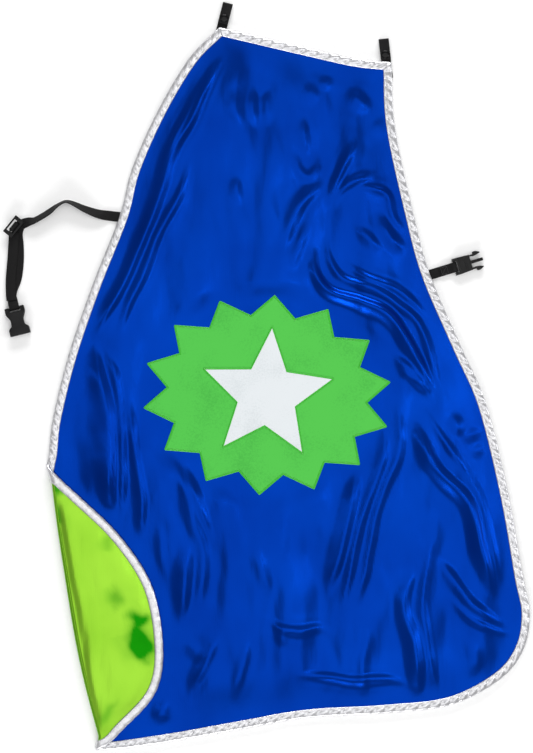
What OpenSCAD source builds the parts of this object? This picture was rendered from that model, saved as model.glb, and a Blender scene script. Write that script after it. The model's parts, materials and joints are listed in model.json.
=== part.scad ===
// Reversible satin superhero cape, laid flat with its front up and one lower corner folded over.
// Millimetres. Seen from above, +X is to the right, +Y towards the neck, +Z up off the surface it lies on.

/* [Cape] */
// Width across the hem, over the binding
cape_w = 488; // [400:1:580]
// Length from the neck to the hem, over the binding
cape_l = 722; // [640:1:870]
// Thickness of each satin layer, with its fold of slack
satin_t = 0.6; // [0.4:0.05:0.8]

/* [Binding] */
// Width of the folded bias binding
binding_w = 8.5; // [7:0.5:11]
// Thickness of the binding below the satin, and again above it
binding_leg = 1.8; // [1.7:0.05:2.2]
// How far the satin stops short of the binding's outer edge
seam_in = 1.5; // [1:0.1:2.5]

/* [Emblem] */
// Width of the appliqued starburst
burst_w = 250; // [180:5:300]
// Height of the appliqued starburst
burst_h = 200; // [150:5:240]
// Number of points on the starburst
burst_points = 14; // [10:1:20]
// Reach of the white star's points
star_r = 68; // [40:1:72]
// Thickness of each appliqued layer
felt_t = 0.6; // [0.4:0.05:0.8]
// Width of the satin stitch round the starburst
stitch_w = 1.8; // [1:0.1:3]

/* [Webbing] */
// Width of the strap webbing
web_w = 10; // [8:0.5:12]
// Thickness of the strap webbing
web_t = 1.1; // [0.8:0.05:1.1]
// Reach of the short strap from its fold line to its buckle bar
short_strap = 21.4; // [18:0.2:30]
// Reach of each shoulder tab above the binding
tab_l = 21; // [18:0.5:22]
// How far each strap and tab is sewn in under the lining
sewn_in = 20; // [16:1:26]

/* [Buckle] */
// Diameter of every webbing bar in the buckle and slider
bar_d = 1.8; // [1.5:0.1:1.9]
// Thickness of the buckle's socket half
socket_t = 7.2; // [6.8:0.1:8]
// Length of the buckle's socket half
socket_l = 28.5; // [26:0.5:32]
// Width of the socket at its mouth
mouth_w = 20.2; // [19.6:0.2:22]
// Wall of the socket above and below its cavity
socket_wall = 1.2; // [1:0.1:1.3]
// Length of the plug half's frame, without its prongs
plug_l = 17.7; // [16:0.5:20]
// Thickness of the plug's prongs
prong_t = 3.6; // [3:0.1:4]

/* [Press studs] */
// Diameter of the stud's knob
knob_d = 3.8; // [3:0.1:4.2]
// Diameter of the cap
cap_d = 8; // [7:0.5:9]

/* [Hidden] */
$fn = 48;

blue = [0.02, 0.22, 0.72];
lime = [0.6, 0.88, 0.22];
silver = [0.86, 0.87, 0.89];
leaf = [0.32, 0.8, 0.28];
white = [0.93, 0.94, 0.95];
black = [0.08, 0.08, 0.09];
acetal = [0.1, 0.1, 0.11];

// Heights of the layers, from the surface up
web_z = 0.6;                             // underside of webbing that is sewn in
lining_z = binding_leg;
front_z = lining_z + satin_t;
top_z = front_z + satin_t;
binding_h = top_z + binding_leg;
fold_z = binding_h + 0.2;                // height of the corner's fold axis
fold_gap = 0.3;                          // clear of the fold axis on each side
far = 40;                                // past the edge of anything that is cut or clipped

// The outline was drawn for a cape of this size, and follows cape_w and cape_l
drawn = [488, 722];
function fit(knots) = [for (p = knots) [p[0] * cape_w / drawn[0], p[1] * cape_l / drawn[1]]];
fold_a = fit([[-220, -89]])[0];
fold_b = fit([[-170, -374]])[0];
neck_left = fit([[-47, 348]])[0];
neck_right = fit([[125, 313]])[0];
long_root = fit([[-152, 159]])[0];       // where the straps fold
short_root = fit([[168, 102]])[0];
fold_clear = 5;                          // from the edge out to where a strap folds, past its slanting seam
neck_knots = concat([neck_left], fit([[30, 330], [88, 317]]), [neck_right]);
side_knots = concat([neck_right], fit([[128, 250], [146, 165]]), [short_root - [fold_clear, 0]], fit([[194, 30],
    [220, -30], [242, -120], [256, -200], [263, -237], [257, -273], [234, -303], [184, -329]]));
hem_knots = fit([[120, -337], [40, -342], [-30, -354], [-110, -368]]);
left_knots = concat(fit([[-214, -45], [-198, 20], [-174, 90]]), [long_root + [fold_clear, 0]], fit([[-135, 205],
    [-110, 262], [-78, 316]]), [neck_left]);
// The corner's rim is drawn as it lies folded over the cape, and opened flat about the fold line
corner_lies = fit([[-140, -350], [-110, -315], [-103, -270], [-114, -210], [-146, -160], [-187, -120]]);
function across_fold(p) = let (t = unit(fold_b - fold_a), d = p - fold_a) fold_a + 2 * (d * t) * t - d;
corner_knots = [for (p = corner_lies) across_fold(p)];
rim_knots = concat(side_knots, hem_knots, [fold_b], corner_knots, [fold_a], left_knots);
steps = 4;                               // points to each knot

function unit(v) = v / norm(v);
function spline(a, b, c, d, t) =
    0.5 * (2 * b + (c - a) * t + (2 * a - 5 * b + 4 * c - d) * t * t
    + (3 * b - a - 3 * c + d) * t * t * t);
function knot(k, i) = i < 0 ? 2 * k[0] - k[1] : i < len(k) ? k[i] : 2 * k[len(k) - 1] - k[len(k) - 2];
// A smooth curve through the knots, with n points to each
function curve(k, n) = [for (i = [0:len(k) - 2], j = [0:n - 1])
    spline(knot(k, i - 1), k[i], k[i + 1], knot(k, i + 2), j / n)];
neck_n = (len(neck_knots) - 1) * steps;
outline = concat(curve(neck_knots, steps), curve(rim_knots, steps));
side_end = neck_n + (len(side_knots) - 1) * steps;
fold_b_at = side_end + (len(hem_knots) + 1) * steps;
fold_a_at = fold_b_at + (len(corner_knots) + 1) * steps;
outline_n = len(outline);

function right_of(v) = [v[1], -v[0]];
// The closed outline moved in by d, with mitred corners
function inset(p, d) = [for (i = [0:len(p) - 1])
    let (a = right_of(unit(p[i] - p[(i + len(p) - 1) % len(p)])),
         b = right_of(unit(p[(i + 1) % len(p)] - p[i])),
         m = unit(a + b))
    p[i] + m * d / (m * a)];
function stretch(p, i, j) = [for (k = [i:j]) p[k % len(p)]];
function backwards(p) = [for (k = [len(p) - 1:-1:0]) p[k]];

// A band of the cape's edge from one depth to another, between two points of the outline
module band(i, j, from, to, z, h)
    translate([0, 0, z])
    linear_extrude(h)
    polygon(concat(stretch(inset(outline, from), i, j),
        backwards(stretch(inset(outline, to), i, j))));

// Folded bias binding: a leg under the satin, a leg over it and a web round its edge
module binding(i, j) {
    difference() {
        band(i, j, 0, binding_w, 0, lining_z);
        webbing_notches();
    }
    band(i, j, 0, seam_in, lining_z, top_z - lining_z);
    band(i, j, 0, binding_w, top_z, binding_leg);
}

// Clearance through the binding's lower leg for the webbing that is sewn in under it
notch_gap = 0.2;
module webbing_notch()
    translate([-far, -web_w / 2 - notch_gap, -1])
    cube([2 * far, web_w + 2 * notch_gap, lining_z + 1]);
module webbing_notches() {
    on_tab(left_tab) mirror([1, 0, 0]) webbing_notch();
    on_tab(right_tab) mirror([1, 0, 0]) webbing_notch();
    on_strap(long_root, long_angle) webbing_notch();
    on_strap(short_root, short_angle) webbing_notch();
}

module satin(z)
    translate([0, 0, z])
    linear_extrude(satin_t)
    polygon(inset(outline, seam_in));

// The fold line of the corner, with +X along it from top to bottom and +Y over the cape
fold_l = norm(fold_b - fold_a);
fold_angle = atan2(fold_b[1] - fold_a[1], fold_b[0] - fold_a[0]);
module on_fold() translate([fold_a[0], fold_a[1], 0]) rotate(fold_angle) children();
module cape_side()
    on_fold()
    translate([-cape_l, fold_gap, -1])
    cube([3 * cape_l, 2 * cape_w, far]);
module corner_side()
    on_fold()
    translate([-cape_l, -2 * cape_w - fold_gap, -1])
    cube([3 * cape_l, 2 * cape_w, far]);
// Turns what is drawn flat over the fold line, onto the cape
module folded_over()
    translate([fold_a[0], fold_a[1], fold_z])
    rotate(fold_angle)
    rotate([180, 0, 0])
    rotate(-fold_angle)
    translate([-fold_a[0], -fold_a[1], -fold_z])
    children();
// Half a tube along the fold line, between two heights of the flat cloth
module fold_bend(from, to, z_low, z_high)
    on_fold()
    translate([from, 0, fold_z])
    intersection() {
        rotate([0, 90, 0]) difference() {
            cylinder(h = to - from, r = fold_z - z_low);
            translate([0, 0, -1]) cylinder(h = to - from + 2, r = fold_z - z_high);
        }
        translate([-1, -far, -far]) cube([to - from + 2, far, 2 * far]);
    }
bend_from = 2.2 * binding_w;
bend_to = fold_l - 1.3 * binding_w;

// Places of the straps and tabs: each has +X along the webbing
long_angle = 173.5;
short_angle = 17;
left_tab = [neck_left + [3, 2.2], 75.6];
right_tab = [neck_right + [-5.5, 1], 96.6];
module on_strap(root, angle)
    translate([root[0], root[1], 0])
    rotate(angle)
    children();
module on_tab(tab)
    on_strap(tab[0], tab[1])
    translate([tab_l, 0, 0])
    rotate(180)
    children();

// Press stud and tab heights
tab_gap = 1.2;                           // between the tab's two layers
flap_z = web_z + web_t + tab_gap;
tab_fold_z = web_z + web_t + tab_gap / 2;
stud_at = 14.5;                          // from the tab's fold
stud_flange_t = 0.25;
stem_d = 2.4;
knob_gap = 0.1;
knob_clear = 0.15;                       // above the stud's knob
post_t = 0.5;
ring_t = 0.85;
cap_t = 0.4;                             // of the cap's rim, and again of its dome
flap_l = tab_l - 0.8;
back_l = tab_l + sewn_in - 3;

module webbing(from, to, z)
    translate([from, -web_w / 2, z])
    cube([to - from, web_w, web_t]);
module tab_back(tab) color(black) on_tab(tab) difference() {
    webbing(fold_gap, back_l, web_z);
    translate([stud_at, 0, 0]) cylinder(h = flap_z, d = stem_d);
}
module tab_flap(tab) color(black) on_tab(tab) difference() {
    webbing(fold_gap, flap_l, flap_z);
    translate([stud_at, 0, web_z + web_t]) cylinder(h = far, d = stem_d);
}
module tab_fold(tab) color(black) on_tab(tab) translate([0, 0, tab_fold_z]) intersection() {
    rotate([90, 0, 0]) difference() {
        cylinder(h = web_w, r = tab_gap / 2 + web_t, center = true);
        cylinder(h = web_w + 2, r = tab_gap / 2, center = true);
    }
    translate([-far, -web_w, -far]) cube([far, 2 * web_w, 2 * far]);
}
module stud_post(tab) color(acetal) on_tab(tab) translate([stud_at, 0, 0]) {
    translate([0, 0, web_z - post_t]) cylinder(h = post_t, d = cap_d - 1);
    translate([0, 0, web_z]) cylinder(h = web_t, d = stem_d);
}
module stud(tab) color(acetal) on_tab(tab) translate([stud_at, 0, web_z + web_t]) {
    cylinder(h = stud_flange_t, d = cap_d - 0.5);
    translate([0, 0, stud_flange_t]) cylinder(h = tab_gap - stud_flange_t - knob_clear, d = knob_d);
}
module socket_ring(tab) color(acetal) on_tab(tab) translate([stud_at, 0, flap_z - ring_t]) difference() {
    cylinder(h = ring_t, d = cap_d);
    translate([0, 0, -1]) cylinder(h = ring_t + 2, d = knob_d + 2 * knob_gap);
}
module cap(tab) color(acetal) on_tab(tab) translate([stud_at, 0, flap_z]) {
    cylinder(h = web_t, d = stem_d);
    translate([0, 0, web_t]) cylinder(h = cap_t, d = cap_d);
    translate([0, 0, web_t + cap_t]) cylinder(h = cap_t, d1 = cap_d, d2 = cap_d - 2);
}

// Webbing on a route of [x, y, z, roll] knots: flat at roll 0 and on its edge at roll 90
module ribbon(knots, n) {
    p = concat(curve(knots, n), [knots[len(knots) - 1]]);
    last = len(p) - 1;
    rings = [for (i = [0:last])
        let (a = p[max(i - 1, 0)], b = p[min(i + 1, last)], c = p[i],
             along = unit([b[0] - a[0], b[1] - a[1], b[2] - a[2]]),
             level = unit([-along[1], along[0], 0]),
             upright = cross(along, level),
             across = level * cos(c[3]) + upright * sin(c[3]),
             thick = cross(along, across),
             mid = [c[0], c[1], c[2]])
        each [mid - across * web_w / 2 - thick * web_t / 2, mid + across * web_w / 2 - thick * web_t / 2,
              mid + across * web_w / 2 + thick * web_t / 2, mid - across * web_w / 2 + thick * web_t / 2]];
    sides = [for (i = [0:last - 1], j = [0:3])
        let (a = 4 * i + j, b = 4 * i + (j + 1) % 4)
        each [[a, a + 4, b], [b, a + 4, b + 4]]];
    polyhedron(rings, concat([[0, 1, 2], [0, 2, 3]], sides,
        [[4 * last, 4 * last + 2, 4 * last + 1], [4 * last, 4 * last + 3, 4 * last + 2]]));
}
// A strip of webbing seen from its side: points [x, z] along its middle
function strip_side(p, d) = [for (i = [0:len(p) - 1])
    let (v = unit(p[min(i + 1, len(p) - 1)] - p[max(i - 1, 0)]))
    p[i] + [-v[1], v[0]] * d];
module strip(p)
    rotate([90, 0, 0])
    linear_extrude(web_w, center = true)
    polygon(concat(strip_side(p, web_t / 2), backwards(strip_side(p, -web_t / 2))));

// The buckle bars' height and the webbing's turn round them
bar_z = 2.9;
bar_gap = 0.1;
turn_r = bar_d / 2 + bar_gap + web_t / 2;
bar_in = 1.4;                            // bar's middle from the buckle's end
function turn(x) = [for (a = [-90:15:90]) [x + turn_r * cos(a), bar_z + turn_r * sin(a)]];
flat_z = web_z + web_t / 2;
hinge_gap = 0.15;

// Short strap: two layers sewn together, looped round the plug's bar
second_z = flat_z + web_t + 0.1;
second_from = 6;                         // from the fold line to where the second layer starts
short_path = concat([[hinge_gap, flat_z], [short_strap - 7, flat_z], [short_strap - 3, flat_z + 0.12]],
    turn(short_strap),
    [[short_strap - 2.2, bar_z + 1.25], [short_strap - 4.6, second_z + 0.5], [short_strap - 7, second_z],
     [second_from, second_z]]);
box_from = second_from + 1;              // the stitched box's first and last row
box_to = short_strap - 8;
box_w = 7;
thread_w = 0.6;
thread_h = 0.25;
module short_strap_loop() color(black) on_strap(short_root, short_angle) strip(short_path);
module short_strap_stitching() color(black) on_strap(short_root, short_angle)
    translate([0, 0, second_z + web_t / 2]) {
        for (x = [box_from, box_to])
            translate([x, -box_w / 2, 0]) cube([thread_w, box_w, thread_h]);
        for (y = [-box_w / 2, box_w / 2 - thread_w])
            translate([box_from + thread_w, y, 0])
            cube([box_to - box_from - thread_w, thread_w, thread_h]);
    }
module strap_anchor(root, angle) color(black) on_strap(root, angle) webbing(-sewn_in, -hinge_gap, web_z);

// Plug half of the buckle, with +X from its bar to its tips
plug_w = 16.9;
nose_w = 15.4;
slot_l = 4.4;
slot_w = web_w + 1.2;
rail_z = 0.5;
rail_t = 4.8;
nose_l = 4.2;
nose_in = 0.4;                           // narrower than the frame, on each side
nose_out = 0.3;                          // prouder than the frame, above and below
guide_l = 12.4;
guide_w = 3;
guide_t = 1.8;
recess_t = 1;                            // of the panel in the plug's back
module bar(l)
    translate([bar_in, 0, bar_z])
    rotate([90, 0, 0])
    cylinder(h = l, d = bar_d, center = true);
module on_plug()
    on_strap(short_root, short_angle)
    translate([short_strap - bar_in, 0, 0])
    children();
module buckle_plug() color(acetal) on_plug() {
    difference() {
        translate([0, 0, rail_z]) linear_extrude(rail_t)
            polygon([[0, -plug_w / 2], [6, -plug_w / 2], [plug_l, -nose_w / 2], [plug_l, nose_w / 2],
                     [6, plug_w / 2], [0, plug_w / 2]]);
        translate([-1, -slot_w / 2, 0]) cube([slot_l + 1, slot_w, far]);
        translate([7, -slot_w / 2, rail_z + rail_t - recess_t]) cube([5, slot_w, far]);
    }
    bar(slot_w + 1);
    translate([plug_l - nose_l, -nose_w / 2 + nose_in, rail_z - nose_out])
        cube([nose_l, nose_w - 2 * nose_in, rail_t + 2 * nose_out]);
    translate([plug_l - 0.5, -guide_w / 2, bar_z - guide_t / 2]) cube([guide_l + 0.5, guide_w, guide_t]);
}
prong_root = plug_l + 0.2;
prong_side = [[0, 5.7], [2.5, 5.6], [3.1, 5.2], [7.6, 5.9], [11.3, 7.1], [10.7, 7.9], [7.3, 9.6],
    [4.9, 9.8], [3.7, 9.3], [3.5, 7.4], [0, 7.3]];
module prong()
    translate([prong_root, 0, bar_z - prong_t / 2])
    linear_extrude(prong_t)
    polygon(prong_side);
module plug_prong_left() color(acetal) on_plug() prong();
module plug_prong_right() color(acetal) on_plug() mirror([0, 1, 0]) prong();

// Socket half, with +X from its bar to its mouth
socket_angle = -76;
socket_bar = long_root + [-99.8, -92];
socket_end_w = 19.6;
waist_w = 12.7;
cavity_from = 9;
cavity_w = 17.2;
socket_z = 0.2;                          // lowest point of the socket's body
body_from = 5.6;                         // where the full-height body starts
cavity_z = socket_wall + socket_z;
cavity_t = socket_t - 2 * socket_wall;
module on_bar() on_strap(socket_bar, socket_angle) children();
module on_socket() on_bar() translate([-bar_in, 0, 0]) children();
socket_half = [[0, socket_end_w / 2 - 0.6], [0.8, socket_end_w / 2], [6, socket_end_w / 2],
    [8, socket_end_w / 2 - 0.9], [12, waist_w / 2 + 0.2], [14, waist_w / 2], [17, waist_w / 2],
    [19, waist_w / 2 + 0.4], [20.8, mouth_w / 2 - 0.9], [22.5, mouth_w / 2], [socket_l, mouth_w / 2]];
socket_outline = concat(socket_half, backwards([for (p = socket_half) [p[0], -p[1]]]));
module buckle_socket() color(acetal) on_socket() {
    difference() {
        union() {
            translate([0, 0, rail_z]) linear_extrude(rail_t) polygon(socket_outline);
            intersection() {
                translate([0, 0, socket_z]) linear_extrude(socket_t) polygon(socket_outline);
                translate([body_from, -far, 0]) cube([2 * far, 2 * far, far]);
            }
        }
        translate([-1, -slot_w / 2, -1]) cube([slot_l + 1, slot_w, far]);
        translate([cavity_from, -cavity_w / 2, cavity_z]) cube([socket_l, cavity_w, cavity_t]);
    }
    bar(slot_w + 1);
}

// Long strap: flat at the cape, on edge over an arch, then flat under the slider to the socket
function out(x, y, z, roll) = [long_root[0] + x, long_root[1] + y, z, roll];
edge_z = 5.6;
return_z = flat_z + 1.35;                // the layer that comes back from the bar
loop_in = 7;
// A point of the strap on the line of the socket, at a distance back from its bar
function before_bar(d) = [socket_bar[0] - d * cos(socket_angle), socket_bar[1] - d * sin(socket_angle),
    flat_z, 0];
long_knots = [out(-0.15, 0.02, flat_z, 0), out(-5, 0.6, flat_z, 0), out(-15.5, 2.2, 3, 28),
    out(-29, 7, 4.6, 50), out(-46, 14.4, edge_z, 72), out(-55.5, 11.4, edge_z, 70), out(-64, 5, 4.9, 56),
    out(-71, 0.4, 4.7, 54), out(-80, -4.4, 4.4, 50), out(-87, -6, 2.6, 22), out(-93.6, -9, flat_z, 4),
    out(-96.6, -17, flat_z, 0), out(-95.6, -30, flat_z, 0), out(-95.6, -46, flat_z, 0),
    out(-97.6, -62, flat_z, 0), out(-101.6, -72.5, flat_z, 0), before_bar(loop_in + 6),
    before_bar(loop_in + 3), before_bar(loop_in + 0.05)];
return_knots = [out(-102.6, -84, 3.4, 0), out(-103.4, -76, return_z, 0), out(-103.4, -62, return_z, 0),
    out(-101.6, -40, return_z, 0), out(-100.2, -16, return_z, 0)];
loop_path = concat([[-loop_in, flat_z], [-3, flat_z + 0.12]], turn(0),
    [[-2.2, bar_z + 1.4], [-4.6, bar_z + 0.9], [-loop_in, 3.4]]);
module long_strap() color(black) ribbon(long_knots, 3);
module long_strap_return() color(black) ribbon(return_knots, 3);
module long_strap_bar_loop() color(black) on_bar() strip(loop_path);

// Slider: a three-bar frame with its middle bar set low, and the strap's end sewn round that bar
slider_at = long_root + [-100.2, -10.4];
slider_angle = -39;
slider_l = 10.6;
slider_w = 20.4;
slider_rail = 3.7;
slider_bar = 1.6;
slider_z = 4.3;
slider_t = 3;
end_bar_t = 1.8;
middle_z = return_z + web_t + 0.05 + turn_r;
module on_slider() on_strap(slider_at, slider_angle) children();
module strap_slider() color(acetal) on_slider() {
    for (s = [-1, 1]) {
        translate([-slider_l / 2, s * (slider_w - slider_rail) / 2 - slider_rail / 2, slider_z])
            cube([slider_l, slider_rail, slider_t]);
        translate([s * (slider_l - slider_bar) / 2 - slider_bar / 2, -slider_w / 2 + 1,
                   slider_z + slider_t - end_bar_t])
            cube([slider_bar, slider_w - 2, end_bar_t]);
    }
    translate([0, 0, middle_z]) rotate([90, 0, 0])
        cylinder(h = slider_w - 2 * slider_rail + 1, d = bar_d, center = true);
}
end_path = concat([[3.2, middle_z - turn_r]],
    [for (a = [-90:-15:-270]) [turn_r * cos(a), middle_z + turn_r * sin(a)]],
    [[1.3, middle_z + 1.3], [2.4, middle_z + 0.2], [3.4, middle_z - 0.35]]);
module slider_strap_end() color(black) on_slider() strip(end_path);

// Emblem: a starburst patch with a star on it, round the middle of the chest
emblem_at = fit([[0.5, -19.5]])[0];
emblem_turn = -4.4;
burst_dip = 0.8;                         // reach of the starburst's notches, to its points'
star_dip = 0.45;
stitch_h = 0.4;                          // above the patch
function burst() = [for (i = [0:2 * burst_points - 1])
    let (a = 90 - 180 * i / burst_points, r = i % 2 == 0 ? 1 : burst_dip)
    [r * cos(a) * burst_w / 2, r * sin(a) * burst_h / 2]];
function star(r) = [for (i = [0:9])
    let (a = 90 - 36 * i, q = i % 2 == 0 ? r : r * star_dip) [q * cos(a), q * sin(a)]];
module on_emblem(z) translate([emblem_at[0], emblem_at[1], z]) rotate(emblem_turn) children();
module emblem_burst() color(leaf)
    on_emblem(top_z)
    linear_extrude(felt_t)
    polygon(inset(burst(), stitch_w));
module emblem_star() color(white)
    on_emblem(top_z + felt_t)
    linear_extrude(felt_t)
    polygon(star(star_r));
module emblem_edge_stitching() color(leaf)
    on_emblem(top_z)
    linear_extrude(felt_t + stitch_h)
    difference() {
        polygon(burst());
        polygon(inset(burst(), stitch_w));
    }

module front_panel() color(blue) intersection() { satin(front_z); cape_side(); }
module lining_panel() color(lime) intersection() { satin(lining_z); cape_side(); }
module neck_binding() color(silver) binding(0, neck_n);
module right_binding() color(silver) binding(neck_n, side_end);
module hem_binding() color(silver) intersection() { binding(side_end, fold_b_at + steps); cape_side(); }
module left_binding() color(silver) intersection() { binding(fold_a_at - steps, outline_n); cape_side(); }
module corner_front() color(blue) folded_over() intersection() { satin(front_z); corner_side(); }
module corner_lining() color(lime) folded_over() intersection() { satin(lining_z); corner_side(); }
module corner_binding() color(silver) folded_over() intersection() {
    binding(fold_b_at - steps, fold_a_at + steps);
    corner_side();
}
module front_fold() color(blue) fold_bend(bend_from, bend_to, front_z, top_z);
module lining_fold() color(lime) fold_bend(bend_from, bend_to, lining_z, front_z);
module binding_folds() color(silver) {
    fold_bend(1, bend_from - 0.2, 0, fold_z - 0.3);
    fold_bend(bend_to + 0.2, fold_l - 0.5, 0, fold_z - 0.3);
}

front_panel();
lining_panel();
neck_binding();
right_binding();
hem_binding();
left_binding();
emblem_burst();
emblem_star();
emblem_edge_stitching();
corner_front();
corner_lining();
corner_binding();
front_fold();
lining_fold();
binding_folds();
tab_back(left_tab);  // left_tab_back
tab_fold(left_tab);  // left_tab_fold
tab_flap(left_tab);  // left_tab_flap
stud(left_tab);  // left_stud
stud_post(left_tab);  // left_stud_post
cap(left_tab);  // left_cap
socket_ring(left_tab);  // left_socket_ring
tab_back(right_tab);  // right_tab_back
tab_fold(right_tab);  // right_tab_fold
tab_flap(right_tab);  // right_tab_flap
stud(right_tab);  // right_stud
stud_post(right_tab);  // right_stud_post
cap(right_tab);  // right_cap
socket_ring(right_tab);  // right_socket_ring
strap_anchor(long_root, long_angle);  // long_strap_anchor
long_strap();
long_strap_bar_loop();
long_strap_return();
strap_slider();
slider_strap_end();
buckle_socket();
strap_anchor(short_root, short_angle);  // short_strap_anchor
short_strap_loop();
short_strap_stitching();
buckle_plug();
plug_prong_left();
plug_prong_right();
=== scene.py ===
import json
import math

import bmesh
import bpy
import numpy as np
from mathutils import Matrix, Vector


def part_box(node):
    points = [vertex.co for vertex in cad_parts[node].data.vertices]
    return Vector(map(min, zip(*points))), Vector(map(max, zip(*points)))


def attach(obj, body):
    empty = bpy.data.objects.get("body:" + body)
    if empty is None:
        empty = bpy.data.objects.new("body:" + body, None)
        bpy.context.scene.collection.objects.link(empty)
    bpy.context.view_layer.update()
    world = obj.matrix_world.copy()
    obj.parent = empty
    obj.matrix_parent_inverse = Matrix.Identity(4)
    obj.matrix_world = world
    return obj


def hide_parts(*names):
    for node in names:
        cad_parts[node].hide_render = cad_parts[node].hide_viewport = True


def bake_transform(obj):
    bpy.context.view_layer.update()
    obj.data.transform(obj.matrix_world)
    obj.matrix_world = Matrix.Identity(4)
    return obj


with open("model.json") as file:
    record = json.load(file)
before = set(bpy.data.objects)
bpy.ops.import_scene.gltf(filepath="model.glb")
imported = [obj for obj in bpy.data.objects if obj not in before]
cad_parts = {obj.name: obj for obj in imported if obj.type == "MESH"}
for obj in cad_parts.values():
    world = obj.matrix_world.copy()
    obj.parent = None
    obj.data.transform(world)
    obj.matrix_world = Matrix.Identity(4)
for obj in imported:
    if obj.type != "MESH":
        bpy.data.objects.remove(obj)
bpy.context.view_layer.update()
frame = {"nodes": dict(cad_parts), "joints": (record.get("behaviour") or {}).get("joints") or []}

bl_info = {
    "name": "Superhero cape",
    "version": (1, 0, 0),
    "blender": (4, 5, 0),
    "location": "View3D > Sidebar > Cape",
    "description": "Builds a satin dress-up cape with its binding, emblem, tabs and buckled belt",
    "category": "Add Mesh",
}

MM = 0.001


# ---------------------------------------------------------------- numbers and curves

def colour(code):
    """An sRGB hex colour as linear red, green and blue."""
    s = np.array([int(code[i:i + 2], 16) for i in (1, 3, 5)]) / 255
    return tuple(np.where(s <= 0.04045, s / 12.92, ((s + 0.055) / 1.055) ** 2.4))


def rise(x, low, high):
    """0 below low, 1 above high, and a smooth step between them."""
    t = np.clip((x - low) / (high - low), 0, 1)
    return t * t * (3 - 2 * t)


def lengths(line):
    """How far each point is along a line of points."""
    step = np.linalg.norm(np.diff(line[:, :3], axis=0), axis=1)
    return np.concatenate([[0], np.cumsum(step)])


def even(line, n):
    """The line again, with n points at even distances along it."""
    s = lengths(line)
    at = np.linspace(0, s[-1], n)
    return np.column_stack([np.interp(at, s, column) for column in line.T])


def through(points, spacing, per=10):
    """A smooth curve through the points: a Catmull-Rom spline between each two, with an even spacing."""
    p = np.asarray(points, float)
    q = np.vstack([2 * p[0] - p[1], p, 2 * p[-1] - p[-2]])
    t = np.arange(per)[:, None] / per
    a, b, c, d = (k[:, None] for k in (q[:-3], q[1:-2], q[2:-1], q[3:]))
    curve = 0.5 * (2 * b + (c - a) * t + (2 * a - 5 * b + 4 * c - d) * t ** 2
                   + (3 * b - a - 3 * c + d) * t ** 3)
    line = np.vstack([curve.reshape(-1, p.shape[1]), p[-1:]])
    return even(line, max(3, int(round(lengths(line)[-1] / spacing)) + 1))


def level_normals(line):
    """Unit vectors square to a line in plan, on its right-hand side."""
    along = np.gradient(line[:, :2], axis=0)
    along /= np.linalg.norm(along, axis=1)[:, None]
    return np.column_stack([along[:, 1], -along[:, 0]])


def inward(line):
    """Unit vectors into the cape from its rim, where the rim runs clockwise and is given in fold distances:
    those are left-handed, so it is their left-hand side."""
    return -level_normals(line)


def swell(x, y, across, along, seed, turn=0.0):
    """Gentle swells from -1 to 1: random heights on a lattice of across by along, turned, joined smoothly."""
    heights = np.random.default_rng(seed).uniform(-1, 1, (256, 256))
    c, s = math.cos(turn), math.sin(turn)
    p, q = (x * c + y * s) / across + 128, (y * c - x * s) / along + 128
    i, j = np.floor(p).astype(int), np.floor(q).astype(int)
    u, v = rise(p - i, 0, 1), rise(q - j, 0, 1)
    low = heights[i % 256, j % 256] * (1 - u) + heights[(i + 1) % 256, j % 256] * u
    high = heights[i % 256, (j + 1) % 256] * (1 - u) + heights[(i + 1) % 256, (j + 1) % 256] * u
    return low * (1 - v) + high * v


# ---------------------------------------------------------------- the frame's own lines

HINGE = next(j for j in frame["joints"] if j["name"] == "corner_unfold")
FOLD_AT = np.array(HINGE["pos_m"])
FOLD_ALONG = np.array(HINGE["axis"][:2]) / np.linalg.norm(HINGE["axis"][:2])
FOLD_OVER = np.array([-FOLD_ALONG[1], FOLD_ALONG[0]])     # level, from the fold line over the cape
FOLD_Z = FOLD_AT[2]
SEAM_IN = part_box("right_binding")[1].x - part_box("front_panel")[1].x
FRONT_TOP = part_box("front_panel")[1].z
LINING_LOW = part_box("lining_panel")[0].z
BINDING_W = 8.5 * MM


def to_fold(xy):
    """Plan points as their distance over the fold line, and their distance along it."""
    d = xy - FOLD_AT[:2]
    return np.column_stack([d @ FOLD_OVER, d @ FOLD_ALONG])


def from_fold(uv):
    """The plan points at these distances over and along the fold line."""
    return FOLD_AT[:2] + uv[:, :1] * FOLD_OVER + uv[:, 1:2] * FOLD_ALONG


def top_outline(node):
    """The outline of a flat CAD node's top face, as a loop of plan points: the edges that one face has."""
    mesh = frame["nodes"][node].data
    co = np.empty(3 * len(mesh.vertices), np.float32)
    mesh.vertices.foreach_get("co", co)
    co = co.reshape(-1, 3).astype(float)
    mesh.calc_loop_triangles()
    tri = np.empty(3 * len(mesh.loop_triangles), np.int32)
    mesh.loop_triangles.foreach_get("vertices", tri)
    tri = tri.reshape(-1, 3)
    tri = tri[(co[tri, 2] > co[:, 2].max() - 0.01 * MM).all(axis=1)]
    place, index = np.unique(np.round(co[:, :2], 5), axis=0, return_inverse=True)
    tri = index.reshape(-1)[tri]
    edge = np.vstack([tri[:, [0, 1]], tri[:, [1, 2]], tri[:, [2, 0]]])
    code, twin = edge @ (len(place), 1), edge @ (1, len(place))
    follows = dict(edge[~np.isin(code, twin)])
    order = [min(follows)]
    while follows[order[-1]] != order[0]:
        order.append(follows[order[-1]])
    return place[order]


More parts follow.
